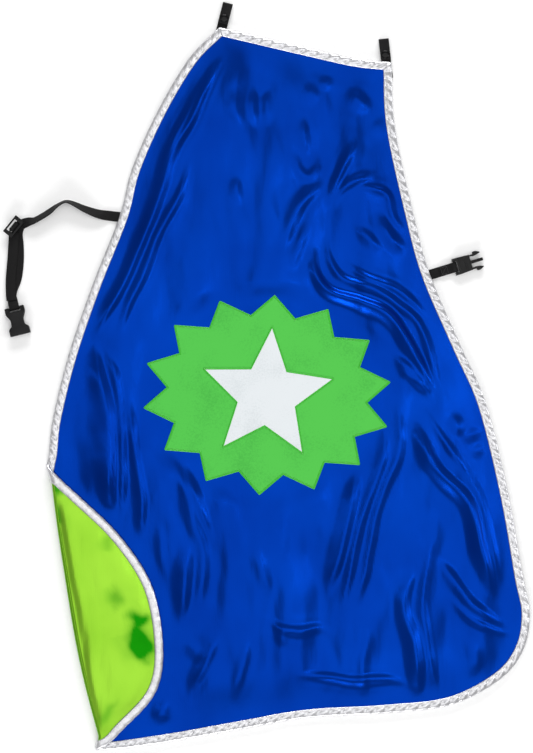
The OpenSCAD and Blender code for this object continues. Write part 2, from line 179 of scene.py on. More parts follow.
def rim_from_fold(node):
    """A panel's outline from the top of the fold round to its foot, in distances over and along the fold."""
    loop = to_fold(top_outline(node))
    ends = np.flatnonzero(np.abs(loop[:, 0]) < 0.5 * MM)
    top, foot = ends[np.argmin(loop[ends, 1])], ends[np.argmax(loop[ends, 1])]
    loop = np.roll(loop, -top, axis=0)
    if (foot - top) % len(loop) < len(loop) // 2:
        loop = np.vstack([loop[:1], loop[:0:-1]])
    foot = int(np.argmin(np.linalg.norm(loop - loop[np.argmax(
        np.where(np.abs(loop[:, 0]) < 0.5 * MM, loop[:, 1], -1))], axis=1)))
    return loop[:foot + 1]


MAIN_RIM = rim_from_fold("front_panel")                   # left edge, neck, right side and hem
FLAP_RIM = rim_from_fold("corner_front")                  # the corner's edge, as it lies on the cape
BEND = 4.2 * MM                                           # the cloth's bend starts this far from the line


def turns(line):
    """How sharply a line of points turns at each of them, in degrees."""
    a, b = np.diff(line, axis=0)[:-1], np.diff(line, axis=0)[1:]
    cross = a[:, 0] * b[:, 1] - a[:, 1] * b[:, 0]
    angle = np.degrees(np.arctan2(np.abs(cross), (a * b).sum(axis=1)))
    return np.concatenate([[0], angle, [0]])


MAIN_XY = from_fold(MAIN_RIM)
NECK = sorted(np.argsort(turns(MAIN_XY))[-2:])            # the neck's two corners on that rim
LOWER_RIGHT = int(np.argmax(MAIN_XY @ (1, -1)))


def wander(v):
    """How far the fold's edge stands out from the fold line, along its length: out in the middle, in at the ends.
    It stays less than BEND, so the cape and the corner don't cross the line when the corner is opened."""
    length = MAIN_RIM[-1, 1]
    t = np.clip(v / length, 0, 1)
    return (3.1 * np.sin(np.pi * t) ** 2 - 2.5 * (1 - t) ** 6 - 4.5 * t ** 8
            + 0.5 * np.sin(11 * t)) * MM * rise(t, 0, 0.05) * rise(1 - t, 0, 0.05)


def fold_over(u, v, z):
    """Flat cloth as it lies: over the line it stays, past the line it lies on the cape, turned over, and
    between it goes round half a circle about the fold's axis. Returns plan points and heights."""
    turn = np.pi * np.clip((BEND - u) / (2 * BEND), 0, 1)
    reach = FOLD_Z - z
    over = np.where(np.abs(u) < BEND, BEND - reach * np.sin(turn), np.abs(u))
    height = FOLD_Z - reach * np.cos(turn)
    over = over - wander(v) * rise(-over, -26 * MM, 0 * MM)
    return from_fold(np.column_stack([over, v])), height


# ---------------------------------------------------------------- how the cloth lies

# Folds of the front, each with its crest's route from the neck down in millimetres, its height, and how
# far it falls away on its west and on its east side
FOLDS = (
    # long folds down the left side
    (((-46, 318), (-65, 272), (-88, 228), (-106, 188), (-119, 145), (-136, 108), (-157, 68), (-172, 38)),
     3.6, 8, 3.6),
    (((-74, 218), (-87, 185), (-104, 146), (-121, 106), (-138, 70), (-147, 36)), 2.4, 6, 3),
    (((-173, 36), (-168, 4), (-160, -34), (-158, -74), (-157, -106), (-150, -142)), 6.2, 12, 5),
    (((-163, 32), (-158, 18), (-150, -4), (-147, -44), (-144, -84), (-141, -146)), 2.4, 6, 3),
    (((-138, -18), (-133, -60), (-126, -92), (-120, -128), (-124, -172)), 2.8, 8, 3),
    (((-106, -5), (-104, -45), (-90, -88), (-74, -138), (-64, -178), (-69, -238)), 2.2, 9, 4),
    (((-86, -54), (-80, -92), (-64, -132), (-54, -172)), 2.8, 9, 3),
    (((-77, -160), (-81, -204), (-87, -252)), 3.4, 9, 4),
    (((-104, -145), (-104, -180), (-101, -206)), 1.6, 5, 2.4),
    (((-60, 300), (-84, 250), (-104, 206)), 1.6, 4, 2.4),
    # upper middle
    (((-29, 286), (-28, 246)), 1.4, 6, 4),
    (((-9, 290), (-11, 268), (-8, 246)), 1.8, 4, 3),
    (((1, 291), (3, 268), (0, 248)), 1.8, 5, 3),
    (((36, 260), (41, 218)), 2.2, 5, 2.6),
    (((-29, 200), (-25, 166)), 2, 5, 2.6),
    (((30, 226), (33, 208), (42, 200), (50, 208), (52, 222)), 1.6, 4, 3),
    (((34, 288), (56, 276)), 1.6, 6, 4),
    (((77, 284), (106, 263)), 2.2, 6, 4),
    (((110, 256), (121, 236)), 2, 6, 4),
    (((62, 300), (58, 284)), 1.4, 5, 3),
    # folds that gather towards the emblem's top right
    (((56, 198), (36, 172), (24, 146), (18, 126)), 3.8, 8, 4),
    (((44, 158), (34, 132), (24, 104)), 2.2, 5, 3),
    (((92, 238), (82, 218), (67, 190), (56, 164)), 2.8, 5, 3),
    (((112, 202), (88, 192), (71, 182), (64, 166)), 2.4, 5, 3),
    (((86, 188), (120, 182), (127, 158), (141, 136)), 2.2, 4, 3),
    (((112, 162), (124, 136), (142, 120)), 3.4, 6, 4),
    (((86, 148), (100, 136), (116, 122)), 2.2, 5, 2.6),
    # the hook round the right of the emblem
    (((47, 130), (50, 104), (66, 84), (94, 74), (122, 60), (140, 36), (158, 4), (172, -22)), 5.4, 9, 4),
    (((58, 142), (62, 118), (76, 98), (102, 88), (128, 72), (152, 52), (166, 16), (175, -16)), 2.6, 5, 3),
    (((72, 116), (102, 96), (134, 82), (164, 56)), 2.2, 5, 3),
    (((122, 24), (146, 4), (170, -30)), 3.6, 7, 3),
    (((128, 8), (148, -4), (164, -20)), 1.8, 4, 2.4),
    (((184, -36), (192, -48), (187, -60)), 2.2, 5, 3),
    (((198, -64), (218, -50)), 1.8, 4, 3),
    (((204, -80), (218, -70)), 1.8, 4, 3),
    # down the right side to the hem
    (((146, -44), (168, -88), (202, -128), (215, -172), (228, -224)), 5.4, 10, 4.4),
    (((156, -30), (192, -84), (216, -128), (226, -172), (233, -214)), 2, 5, 2.6),
    (((94, -86), (81, -144), (58, -224)), 4, 10, 5),
    (((114, -14), (118, -70), (107, -114), (87, -170), (78, -236)), 2.6, 6, 3),
    (((131, -22), (134, -72), (118, -114), (104, -170), (92, -234)), 2.4, 6, 3),
    (((148, -190), (138, -230), (152, -272), (152, -326)), 5, 11, 5),
    (((165, -160), (158, -220), (165, -270), (172, -322)), 2.2, 5, 3),
    (((172, -176), (202, -222), (242, -252)), 3, 9, 4),
    (((178, -216), (212, -248), (248, -258)), 2, 5, 3),
    # along the hem
    (((-2, -238), (12, -250), (34, -254), (54, -250), (68, -258)), 2.2, 5, 3),
    (((25, -298), (70, -302), (110, -302), (136, -305), (140, -316)), 2.4, 6, 3),
    (((12, -246), (16, -260), (12, -272)), 2, 5, 3),
    (((-46, -254), (-62, -290), (-80, -322)), 2.2, 6, 3),
    (((-78, -262), (-70, -276), (-66, -288)), 1.8, 5, 3),
    (((-19, -256), (-24, -290), (-34, -330)), 1.8, 6, 3),
    (((-14, -164), (0, -196), (7, -226)), 2, 7, 4),
    (((-110, -318), (-106, -334), (-102, -352)), 2.6, 6, 4),
    (((60, -262), (64, -290), (60, -326)), 1.6, 6, 4),
    (((104, -250), (96, -292), (100, -330)), 1.8, 6, 4),
    (((196, -262), (206, -284), (204, -306)), 1.8, 6, 4),
)
# Folds of the turned-over corner, in the same terms, and its crushed hollows, where the lining's colour is also
# darkened with painted shade
FLAP_FOLDS = (
    (((-206, -120), (-198, -160), (-192, -200), (-186, -240)), 1.8, 7, 6),
    (((-184, -150), (-168, -196), (-160, -226)), 1.5, 6, 5),
    (((-176, -226), (-170, -262), (-176, -300), (-168, -336)), 1.9, 7, 5),
    (((-190, -200), (-184, -236), (-188, -270)), 1.2, 5, 4),
    (((-160, -262), (-152, -290), (-150, -318)), 1.6, 6, 4),
    (((-172, -330), (-160, -322), (-146, -300)), 1.2, 5, 4),
    (((-140, -236), (-126, -232), (-116, -228)), 1.6, 4, 4),
)
FLAP_HOLLOWS = (
    (((-146, -241), (-134, -240), (-124, -243), (-113, -234)), 2.6, 4, 4),
    (((-138, -240), (-131, -252), (-129, -262), (-124, -276), (-119, -294)), 3.4, 7, 7),
    (((-130, -256), (-122, -270), (-117, -284)), 2.4, 6, 6),
    (((-156, -206), (-150, -222), (-142, -234)), 1.5, 5, 4),
    (((-164, -156), (-158, -168), (-156, -178)), 1.0, 5, 4),
    (((-217, -98), (-210, -108), (-200, -118)), 2.4, 8, 7),
    (((-216, -100), (-213, -120), (-209, -150), (-206, -180)), 1.6, 3.4, 3.4),
    (((-212, -140), (-206, -180), (-202, -220), (-197, -260), (-187, -300), (-178, -345)), 1.6, 2.6, 2.6),
    (((-146, -318), (-160, -340), (-170, -358)), 1.2, 5, 4),
)


def ridge(x, y, crest, height, west, east):
    """One fold: a bell across its crest, wider on one side than on the other, with a lower bell on each side
    of it, that fades to its two ends."""
    line = through(np.array(crest) * MM, 1.5 * MM)
    short = 1 - rise(lengths(line)[-1], 20 * MM, 110 * MM)
    height, west, east = height * (1 - 0.45 * short), west * (1 + 0.5 * short), east * (1 + 0.7 * short)
    out = np.zeros_like(x)
    reach = 3.4 * max(west, east) * MM
    near = np.flatnonzero((x > line[:, 0].min() - reach) & (x < line[:, 0].max() + reach)
                          & (y > line[:, 1].min() - reach) & (y < line[:, 1].max() + reach))
    if len(near) == 0:
        return out
    side = -level_normals(line)
    ends = min(0.42, 42 * MM / lengths(line)[-1])
    for part in np.array_split(near, max(1, len(near) * len(line) // 4_000_000)):
        dx, dy = x[part, None] - line[:, 0], y[part, None] - line[:, 1]
        k = np.argmin(dx * dx + dy * dy, axis=1)
        row = np.arange(len(part))
        dx, dy = dx[row, k], dy[row, k]
        off = dx * side[k, 0] + dy * side[k, 1]
        past = np.abs(dx * side[k, 1] - dy * side[k, 0])
        t = k / (len(line) - 1)
        taper = 0.6 + 0.4 * np.sin(np.pi * t) ** 0.7
        width = np.where(off > 0, east, west) * MM * taper
        pleat = (np.exp(-(off / width) ** 2)
                 + 0.1 * np.exp(-((off - (2.1 * east + 2) * MM * taper) / ((0.7 * east + 1) * MM * taper)) ** 2)
                 + 0.08 * np.exp(-((off + 2.1 * west * MM * taper) / (0.6 * west * MM * taper)) ** 2))
        fade = rise(t, 0, ends) * rise(1 - t, 0, ends)
        out[part] = height * MM * fade * pleat * np.exp(-(past / (4 * MM)) ** 2 * (past > 1.5 * MM))
    return out


def distance_to(x, y, line):
    """How far each point is from the nearest point of a line."""
    out = np.empty(len(x))
    for part in np.array_split(np.arange(len(x)), max(1, len(x) * len(line) // 4_000_000)):
        out[part] = np.sqrt(((x[part, None] - line[:, 0]) ** 2 + (y[part, None] - line[:, 1]) ** 2).min(axis=1))
    return out


RIM_DENSE = even(MAIN_XY, 700)
FLAP_DENSE = even(from_fold(FLAP_RIM), 240)
EMBLEM_LOW, EMBLEM_HIGH = (np.array(c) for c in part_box("emblem_edge_stitching"))
EMBLEM_AT = (EMBLEM_LOW + EMBLEM_HIGH) / 2


def under_flap(x, y, soft):
    """1 where the turned-over corner covers the cape, with an edge that fades over a distance, and 0 away
    from it."""
    uv = to_fold(np.column_stack([x, y]))
    order = np.argsort(FLAP_RIM[:, 1])
    reach = np.interp(uv[:, 1], FLAP_RIM[order, 1], FLAP_RIM[order, 0])
    inside = rise(uv[:, 1], -0.8 * soft, 0) * rise(MAIN_RIM[-1, 1] - uv[:, 1], -0.8 * soft, 0)
    return inside * (1 - rise(uv[:, 0] - reach, 5 * MM, 5 * MM + soft))


def emblem_cover(x, y):
    """1 on the emblem, which is stiff and lies nearly flat, and 0 away from it."""
    half = (EMBLEM_HIGH - EMBLEM_LOW) / 2
    r = np.hypot((x - EMBLEM_AT[0]) / half[0], (y - EMBLEM_AT[1]) / half[1])
    return 1 - rise(r, 0.93, 1.16)


def front_lift(x, y):
    """How far the front stands up off the surface at each plan point: its folds and swells, held down at
    the binding, under the emblem and under the turned-over corner."""
    flat = 1 - 0.88 * emblem_cover(x, y)
    # the folds wander a little, and rise and fall along their length
    wx = x + 3 * MM * swell(x, y, 30 * MM, 46 * MM, 31) + 0.4 * MM * swell(x, y, 9 * MM, 18 * MM, 33)
    wy = y + 2.6 * MM * swell(x, y, 30 * MM, 44 * MM, 32)
    folds = 1.3 * sum(ridge(wx, wy, *fold) for fold in FOLDS) * (1 + 0.2 * swell(x, y, 34 * MM, 52 * MM, 34))
    edge = distance_to(x, y, RIM_DENSE)
    h = folds * (0.2 + 0.8 * rise(edge, 6 * MM, 28 * MM)) * (1 - under_flap(x, y, 22 * MM))
    waves = (2.3 * (1 + swell(wx, wy, 30 * MM, 95 * MM, 3, 0.12)) + 1.3 * swell(wx, wy, 15 * MM, 56 * MM, 5, -0.1)
             + 0.25 * swell(wx, wy, 8 * MM, 26 * MM, 8, 0.2)) * MM
    waves = waves * (0.3 + 0.7 * rise(edge, 6 * MM, 50 * MM)) * (1 - 0.9 * under_flap(x, y, 60 * MM))
    h = (h + waves) * flat
    scale = bpy.context.scene.cape_cloth.fold_height
    return np.maximum(h, 0) * scale


def flap_hollow(x, y):
    """How deep the corner is crushed in at each plan point. The lining's colour is also darkened by it: painted shade.
    """
    wx = x + 2.5 * MM * swell(x, y, 9 * MM, 9 * MM, 41)
    wy = y + 2.5 * MM * swell(x, y, 9 * MM, 9 * MM, 42)
    return sum(ridge(wx, wy, *fold) for fold in FLAP_HOLLOWS)


def flap_lift(x, y):
    """The same as front_lift for the corner that lies on the cape."""
    h = sum(ridge(x, y, *fold) for fold in FLAP_FOLDS) - 0.5 * flap_hollow(x, y) + 1.2 * MM
    h = h + 0.9 * MM * (1 + swell(x, y, 22 * MM, 50 * MM, 13, 0.2))
    h = h + 0.35 * MM * swell(x, y, 9 * MM, 26 * MM, 15)
    edge = distance_to(x, y, FLAP_DENSE)
    uv = to_fold(np.column_stack([x, y]))
    h = np.maximum(h, 0) * rise(edge, 4 * MM, 24 * MM) * rise(uv[:, 0], 3 * MM, 16 * MM)
    # opened flat, the corner hangs this height below itself, so it stays less than its room over the surface
    return 1.6 * MM * np.tanh(h / (1.6 * MM)) * min(1, bpy.context.scene.cape_cloth.fold_height)


# ---------------------------------------------------------------- meshes

def quads(index):
    """The faces of a grid of vertex numbers."""
    return np.stack([index[:-1, :-1], index[1:, :-1], index[1:, 1:], index[:-1, 1:]], axis=-1).reshape(-1, 4)


def make(name, points, faces, material, uv=None, closed=True, painted_shade=None):
    """A smooth-shaded piece from points and four-cornered faces. A closed one has its doubles merged and its
    faces turned outwards."""
    mesh = bpy.data.meshes.new(name)
    mesh.vertices.add(len(points))
    mesh.vertices.foreach_set("co", np.asarray(points, np.float32).ravel())
    mesh.loops.add(faces.size)
    mesh.loops.foreach_set("vertex_index", faces.astype(np.int32).ravel())
    mesh.polygons.add(len(faces))
    mesh.polygons.foreach_set("loop_start", np.arange(0, faces.size, 4, dtype=np.int32))
    mesh.update(calc_edges=True)
    if uv is not None:
        layer = mesh.uv_layers.new(name="Cloth")
        layer.data.foreach_set("uv", np.asarray(uv, np.float32)[faces.ravel()].ravel())
    # painted shade: a weight at each point, how far the satin's colour is darkened towards its deep colour
    if painted_shade is not None:
        mesh.attributes.new("painted_shade", "FLOAT", "POINT").data.foreach_set("value", painted_shade.astype(np.float32))
    if closed:
        bm = bmesh.new()
        bm.from_mesh(mesh)
        bmesh.ops.remove_doubles(bm, verts=bm.verts, dist=0.002 * MM)
        bmesh.ops.recalc_face_normals(bm, faces=bm.faces)
        bm.to_mesh(mesh)
        bm.free()
    mesh.shade_smooth()
    obj = bpy.data.objects.new(name, mesh)
    bpy.context.scene.collection.objects.link(obj)
    mesh.materials.append(material)
    return obj


def slab(name, top, bottom, material, uv=None, painted_shade=None):
    """A thin closed sheet: two grids of the same shape, joined along their four edges."""
    m, n = top.shape[:2]
    a = np.arange(m * n).reshape(m, n)
    b = a + m * n
    ring = lambda g: np.concatenate([g[0], g[1:, -1], g[-1, -2::-1], g[-2::-1, 0]])
    side = np.stack([ring(a), ring(b)])
    faces = np.vstack([quads(a), quads(b)[:, ::-1], quads(side)])
    points = np.vstack([top.reshape(-1, 3), bottom.reshape(-1, 3)])
    return make(name, points, faces, material, None if uv is None else np.vstack([uv, uv]),
                painted_shade=None if painted_shade is None else np.concatenate([painted_shade, painted_shade]))


def tube(name, rings, material, uv=None, loop=False):
    """A profile carried along a path: rings of points, closed round the profile, with ends that are strips
    between opposite points, or joined end to end."""
    m, k = rings.shape[:2]
    a = np.arange(m * k).reshape(m, k)
    around = np.hstack([a, a[:, :1]])
    faces = [quads(np.vstack([around, around[:1]]) if loop else around)]
    if not loop:
        for end in (a[0], a[-1]):
            half = k // 2
            faces.append(quads(np.stack([end[:half], end[::-1][:half]])))
    return make(name, rings.reshape(-1, 3), np.vstack(faces), material, uv)


def coons(top, right, bottom, left, columns, rows):
    """A grid between four edges: the sum of the two ruled surfaces less the flat one through the corners."""
    n, h = even(top, columns)[None], even(bottom, columns)[None]
    e, w = even(right, rows)[:, None], even(left, rows)[:, None]
    s, t = np.linspace(0, 1, columns)[None, :, None], np.linspace(0, 1, rows)[:, None, None]
    return ((1 - s) * w + s * e + (1 - t) * n + t * h
            - (1 - s) * (1 - t) * n[:, :1] - s * (1 - t) * n[:, -1:]
            - (1 - s) * t * h[:, :1] - s * t * h[:, -1:])


def hand_over(obj, body, slot, *nodes):
    """Puts a piece on its body and hides the CAD nodes that it stands for. Its material slot is not used."""
    if body:
        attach(obj, body)
    if nodes:
        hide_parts(*nodes)
    return obj


# ---------------------------------------------------------------- materials

def add(tree, kind, inputs=None, **settings):
    """Adds a node, with its settings and with values or links for its inputs."""
    node = tree.nodes.new(kind)
    for key, value in settings.items():
        setattr(node, key, value)
    for key, value in (inputs or {}).items():
        if isinstance(value, bpy.types.NodeSocket):
            tree.links.new(value, node.inputs[key])
        else:
            node.inputs[key].default_value = value
    return node


def rgba(c):
    return (*tuple(c)[:3], 1)


def material(name, **shader):
    """A new material with a Principled shader, and its tree and shader."""
    m = bpy.data.materials.new(name)
    m.use_nodes = True
    tree = m.node_tree
    bsdf = tree.nodes["Principled BSDF"]
    for key, value in shader.items():
        bsdf.inputs[key.replace("_", " ")].default_value = value
    return m, tree, bsdf


def satin(name, mid, light, dark, deep):
    """Polyester satin, woven with long floats: it has a soft glow in its own colour, brighter and darker as
    the cloth leans, over a fine lengthwise weave and small pressed creases."""
    m, tree, bsdf = material(name, Roughness=0.28, Metallic=0.78, Specular_IOR_Level=0.0)
    at = add(tree, "ShaderNodeTexCoord").outputs["Object"]
    cloud = add(tree, "ShaderNodeTexNoise", {"Vector": at, "Scale": 9.0, "Detail": 3.0, "Roughness": 0.55})
    tone = add(tree, "ShaderNodeValToRGB", {"Fac": cloud.outputs["Fac"]})
    tone.color_ramp.elements[0].position, tone.color_ramp.elements[1].position = 0.3, 0.72
    tone.color_ramp.elements[0].color, tone.color_ramp.elements[1].color = rgba(dark), rgba(light)
    middle = tone.color_ramp.elements.new(0.5)
    middle.color = rgba(mid)
    # painted shade: where the cloth is crushed into a hollow, and over the whole bend at the fold, its colour is mixed
    # towards the darker deep colour, standing in for the shade there and for the light that the cloth passes on to
    # itself
    painted_shade = add(tree, "ShaderNodeAttribute", attribute_name="painted_shade")
    painted_shade_mix = add(tree, "ShaderNodeMix", {"Factor": painted_shade.outputs["Fac"], 6: tone.outputs["Color"], 7: rgba(deep)},
                 data_type="RGBA")
    tree.links.new(painted_shade_mix.outputs[2], bsdf.inputs["Base Color"])
    # small creases, about 12 mm across and 40 mm long
    long_way = add(tree, "ShaderNodeMapping", {"Vector": at, "Scale": (1.0, 0.3, 1.0)})
    crease = add(tree, "ShaderNodeTexNoise", {"Vector": long_way.outputs["Vector"], "Scale": 85.0, "Detail": 4.0,
                                              "Roughness": 0.5, "Distortion": 0.4})
    # threads are 0.1 mm apart, too fine to show, so they are drawn 1 mm apart
    thread = add(tree, "ShaderNodeTexWave", {"Vector": at, "Scale": 160.0, "Distortion": 1.2, "Detail": 1.0,
                                             "Detail Scale": 2.0}, bands_direction="X")
    soft = add(tree, "ShaderNodeBump", {"Height": crease.outputs["Fac"], "Strength": 0.5, "Distance": 0.0006})
    fine = add(tree, "ShaderNodeBump", {"Height": thread.outputs["Fac"], "Strength": 0.25, "Distance": 0.00004,
                                        "Normal": soft.outputs["Normal"]})
    tree.links.new(fine.outputs["Normal"], bsdf.inputs["Normal"])
    return m


def lame(name, body, shade):
    """Silver lame bias binding, a woven tape with flat metallic threads: bright, crisp and a little streaky."""
    m, tree, bsdf = material(name, Roughness=0.3, Metallic=0.7)
    at = add(tree, "ShaderNodeTexCoord").outputs["Object"]
    streak = add(tree, "ShaderNodeTexNoise", {"Vector": at, "Scale": 260.0, "Detail": 3.0, "Roughness": 0.6})
    tone = add(tree, "ShaderNodeValToRGB", {"Fac": streak.outputs["Fac"]})
    tone.color_ramp.elements[0].position, tone.color_ramp.elements[1].position = 0.3, 0.62
    tone.color_ramp.elements[0].color, tone.color_ramp.elements[1].color = rgba(shade), rgba(body)
    tree.links.new(tone.outputs["Color"], bsdf.inputs["Base Color"])
    # the tape's weave, 0.8 mm
    weave = add(tree, "ShaderNodeTexWave", {"Vector": at, "Scale": 200.0, "Distortion": 2.0, "Detail": 2.0},
                bands_direction="DIAGONAL")
    crush = add(tree, "ShaderNodeBump", {"Height": streak.outputs["Fac"], "Strength": 0.3, "Distance": 0.0003})
    bump = add(tree, "ShaderNodeBump", {"Height": weave.outputs["Fac"], "Strength": 0.3, "Distance": 0.00006,
                                        "Normal": crush.outputs["Normal"]})
    tree.links.new(bump.outputs["Normal"], bsdf.inputs["Normal"])
    return m


def felt(name, body, shade):
    """Brushed polyester felt: matt, with short fibres that catch the light at the edges."""
    m, tree, bsdf = material(name, Roughness=0.8, Sheen_Weight=0.25, Sheen_Roughness=0.5)
    bsdf.inputs["Specular IOR Level"].default_value = 0.3
    at = add(tree, "ShaderNodeTexCoord").outputs["Object"]
    fibre = add(tree, "ShaderNodeTexNoise", {"Vector": at, "Scale": 600.0, "Detail": 4.0, "Roughness": 0.7})
    cloud = add(tree, "ShaderNodeTexNoise", {"Vector": at, "Scale": 24.0, "Detail": 3.0})
    mix = add(tree, "ShaderNodeMath", {0: fibre.outputs["Fac"], 1: cloud.outputs["Fac"]}, operation="ADD")
    tone = add(tree, "ShaderNodeValToRGB", {"Fac": mix.outputs["Value"]})
    tone.color_ramp.elements[0].position, tone.color_ramp.elements[1].position = 0.75, 1.2
    tone.color_ramp.elements[0].color, tone.color_ramp.elements[1].color = rgba(shade), rgba(body)
    tree.links.new(tone.outputs["Color"], bsdf.inputs["Base Color"])
    bump = add(tree, "ShaderNodeBump", {"Height": fibre.outputs["Fac"], "Strength": 0.4, "Distance": 0.00015})
    tree.links.new(bump.outputs["Normal"], bsdf.inputs["Normal"])
    return m


def thread(name, body, shade, shine=0.35):
    """Rayon embroidery thread: smooth filaments with a twist that shows as fine light and dark."""
    m, tree, bsdf = material(name, Roughness=shine, Sheen_Weight=0.1)
    at = add(tree, "ShaderNodeTexCoord").outputs["Object"]
    twist = add(tree, "ShaderNodeTexNoise", {"Vector": at, "Scale": 900.0, "Detail": 2.0})
    tone = add(tree, "ShaderNodeValToRGB", {"Fac": twist.outputs["Fac"]})
    tone.color_ramp.elements[0].color, tone.color_ramp.elements[1].color = rgba(shade), rgba(body)
    tree.links.new(tone.outputs["Color"], bsdf.inputs["Base Color"])
    bump = add(tree, "ShaderNodeBump", {"Height": twist.outputs["Fac"], "Strength": 0.3, "Distance": 0.0001})
    tree.links.new(bump.outputs["Normal"], bsdf.inputs["Normal"])
    return m


def webbing(name, body, light):
    """Black polypropylene webbing: a herringbone of thick yarns, 1.4 mm apart, dull with a slight gloss."""
    m, tree, bsdf = material(name, Roughness=0.6, Specular_IOR_Level=0.18)
    uv = add(tree, "ShaderNodeTexCoord").outputs["UV"]
    # the two slants of the herringbone meet along the strap's middle
    split = add(tree, "ShaderNodeSeparateXYZ", {"Vector": uv})
    mirrored = add(tree, "ShaderNodeMath", {0: split.outputs["Y"]}, operation="ABSOLUTE")
    slant = add(tree, "ShaderNodeMath", {0: split.outputs["X"], 1: mirrored.outputs["Value"]}, operation="ADD")
    turns_ = add(tree, "ShaderNodeMath", {0: slant.outputs["Value"], 1: 2 * math.pi / (1.4 * MM)},
                 operation="MULTIPLY")
    yarn = add(tree, "ShaderNodeMath", {0: turns_.outputs["Value"]}, operation="SINE")
    fuzz = add(tree, "ShaderNodeTexNoise", {"Vector": uv, "Scale": 900.0, "Detail": 3.0})
    high = add(tree, "ShaderNodeMath", {0: yarn.outputs["Value"], 1: 0.5, 2: 0.5}, operation="MULTIPLY_ADD")
    both = add(tree, "ShaderNodeMath", {0: fuzz.outputs["Fac"], 1: 0.5, 2: high.outputs["Value"]},
               operation="MULTIPLY_ADD")
    tone = add(tree, "ShaderNodeValToRGB", {"Fac": both.outputs["Value"]})
    tone.color_ramp.elements[0].position, tone.color_ramp.elements[1].position = 0.25, 1.0
    tone.color_ramp.elements[0].color, tone.color_ramp.elements[1].color = rgba(body), rgba(light)
    tree.links.new(tone.outputs["Color"], bsdf.inputs["Base Color"])
    bump = add(tree, "ShaderNodeBump", {"Height": both.outputs["Value"], "Strength": 0.7, "Distance": 0.00022})
    tree.links.new(bump.outputs["Normal"], bsdf.inputs["Normal"])
    return m


def acetal(name, body, light, gloss):
    """Injection-moulded acetal: near black, a satin gloss, with the mould's fine spark texture."""
    m, tree, bsdf = material(name, Roughness=gloss, Specular_IOR_Level=0.22)
    at = add(tree, "ShaderNodeTexCoord").outputs["Object"]
    spark = add(tree, "ShaderNodeTexNoise", {"Vector": at, "Scale": 1400.0, "Detail": 2.0})
    wear = add(tree, "ShaderNodeTexNoise", {"Vector": at, "Scale": 120.0, "Detail": 3.0})
    tone = add(tree, "ShaderNodeValToRGB", {"Fac": wear.outputs["Fac"]})
    tone.color_ramp.elements[0].position, tone.color_ramp.elements[1].position = 0.35, 0.75
    tone.color_ramp.elements[0].color, tone.color_ramp.elements[1].color = rgba(body), rgba(light)
    tree.links.new(tone.outputs["Color"], bsdf.inputs["Base Color"])
    bump = add(tree, "ShaderNodeBump", {"Height": spark.outputs["Fac"], "Strength": 0.25, "Distance": 0.00004})
    tree.links.new(bump.outputs["Normal"], bsdf.inputs["Normal"])
    return m


FINISHES = {
    # the last colour of each satin is the dark one that its painted shade mixes towards, in hollows and on the bend at
    # the fold
    "blue": lambda c: satin("polyester_satin_blue", c.front_colour, colour("#0239A6"), colour("#022F92"),
                            colour("#011A62")),
    "lime": lambda c: satin("polyester_satin_lime", c.lining_colour, colour("#98D03C"), colour("#84BE2E"),
                            colour("#128208")),
    "silver": lambda c: lame("silver_lame", colour("#DCDCDF"), colour("#C2C2C6")),
    "green": lambda c: felt("felt_green", colour("#4DC146"), colour("#43B33F")),
    "white": lambda c: felt("felt_white", colour("#DFE4E7"), colour("#D3D9DC")),
    "green_thread": lambda c: thread("rayon_thread_green", colour("#3CC524"), colour("#23960F")),
    "silver_thread": lambda c: thread("rayon_thread_silver", colour("#D9DBDC"), colour("#8E9092")),
    "black_thread": lambda c: thread("polyester_thread_black", colour("#1C1B1D"), colour("#08080A"), 0.5),
    "webbing": lambda c: webbing("polypropylene_webbing_black", colour("#050505"), colour("#161516")),
    "acetal": lambda c: acetal("acetal_black", colour("#070708"), colour("#0F0F10"), 0.34),
    "snap": lambda c: acetal("acetal_black_polished", colour("#050506"), colour("#0C0C0D"), 0.16),
}
_made = {}


def finish(key):
    """The material of that finish, made once."""
    if key not in _made:
        _made[key] = FINISHES[key](bpy.context.scene.cape_cloth)
    return _made[key]


# ---------------------------------------------------------------- the satin

SHEET_T = 0.34 * MM
SHEET_GAP = 0.2 * MM


def cape_grid(columns, rows):
    """Plan points all over the cape, past its fold: a grid between the neck, the right side, the hem, and the
    left edge with the fold under it."""
    pieces, first = [], 0
    for last in (NECK[0], NECK[1], LOWER_RIGHT, len(MAIN_RIM) - 1):
        pieces.append(through(MAIN_RIM[first:last + 1], 2 * MM))
        first = last
    left, neck, right, hem = pieces
    left = left[np.flatnonzero(left[:, 0] < BEND)[-1] + 1:] if left[0, 0] < BEND else left
    left[0, 0] = BEND
    hem = hem[:np.flatnonzero(hem[:, 0] > BEND)[-1] + 1]
    hem[-1, 0] = BEND
    fold = np.linspace(left[0], hem[-1], 140)
    west = np.vstack([left[::-1], fold[1:]])
    return coons(neck, right, hem[::-1], west, columns, rows), left[0, 1], hem[-1, 1]


class CAPE_OT_cloth(bpy.types.Operator):
    """Make the satin front and lining of the cape"""
    bl_idname = "cape.cloth"
    bl_label = "Front and lining"

    def execute(self, context):
        grid, _, _ = cape_grid(168, 292)
        m, n = grid.shape[:2]
        flat = grid.reshape(-1, 2)
        xy, _ = fold_over(flat[:, 0], flat[:, 1], np.zeros(len(flat)))
        lift = front_lift(xy[:, 0], xy[:, 1])
        uv = from_fold(flat)
        for name, top, key, slot, node in (
                ("satin_front", FRONT_TOP, "blue", "blue_satin", "front_panel"),
                ("satin_lining", FRONT_TOP - SHEET_T - SHEET_GAP, "lime", "lime_satin", "lining_panel")):
            high = np.column_stack([xy, top + lift]).reshape(m, n, 3)
            low = high - (0, 0, SHEET_T)
            obj = slab(name, high, low, finish(key), uv)
            hand_over(obj, "cape", slot, node)
        return {"FINISHED"}


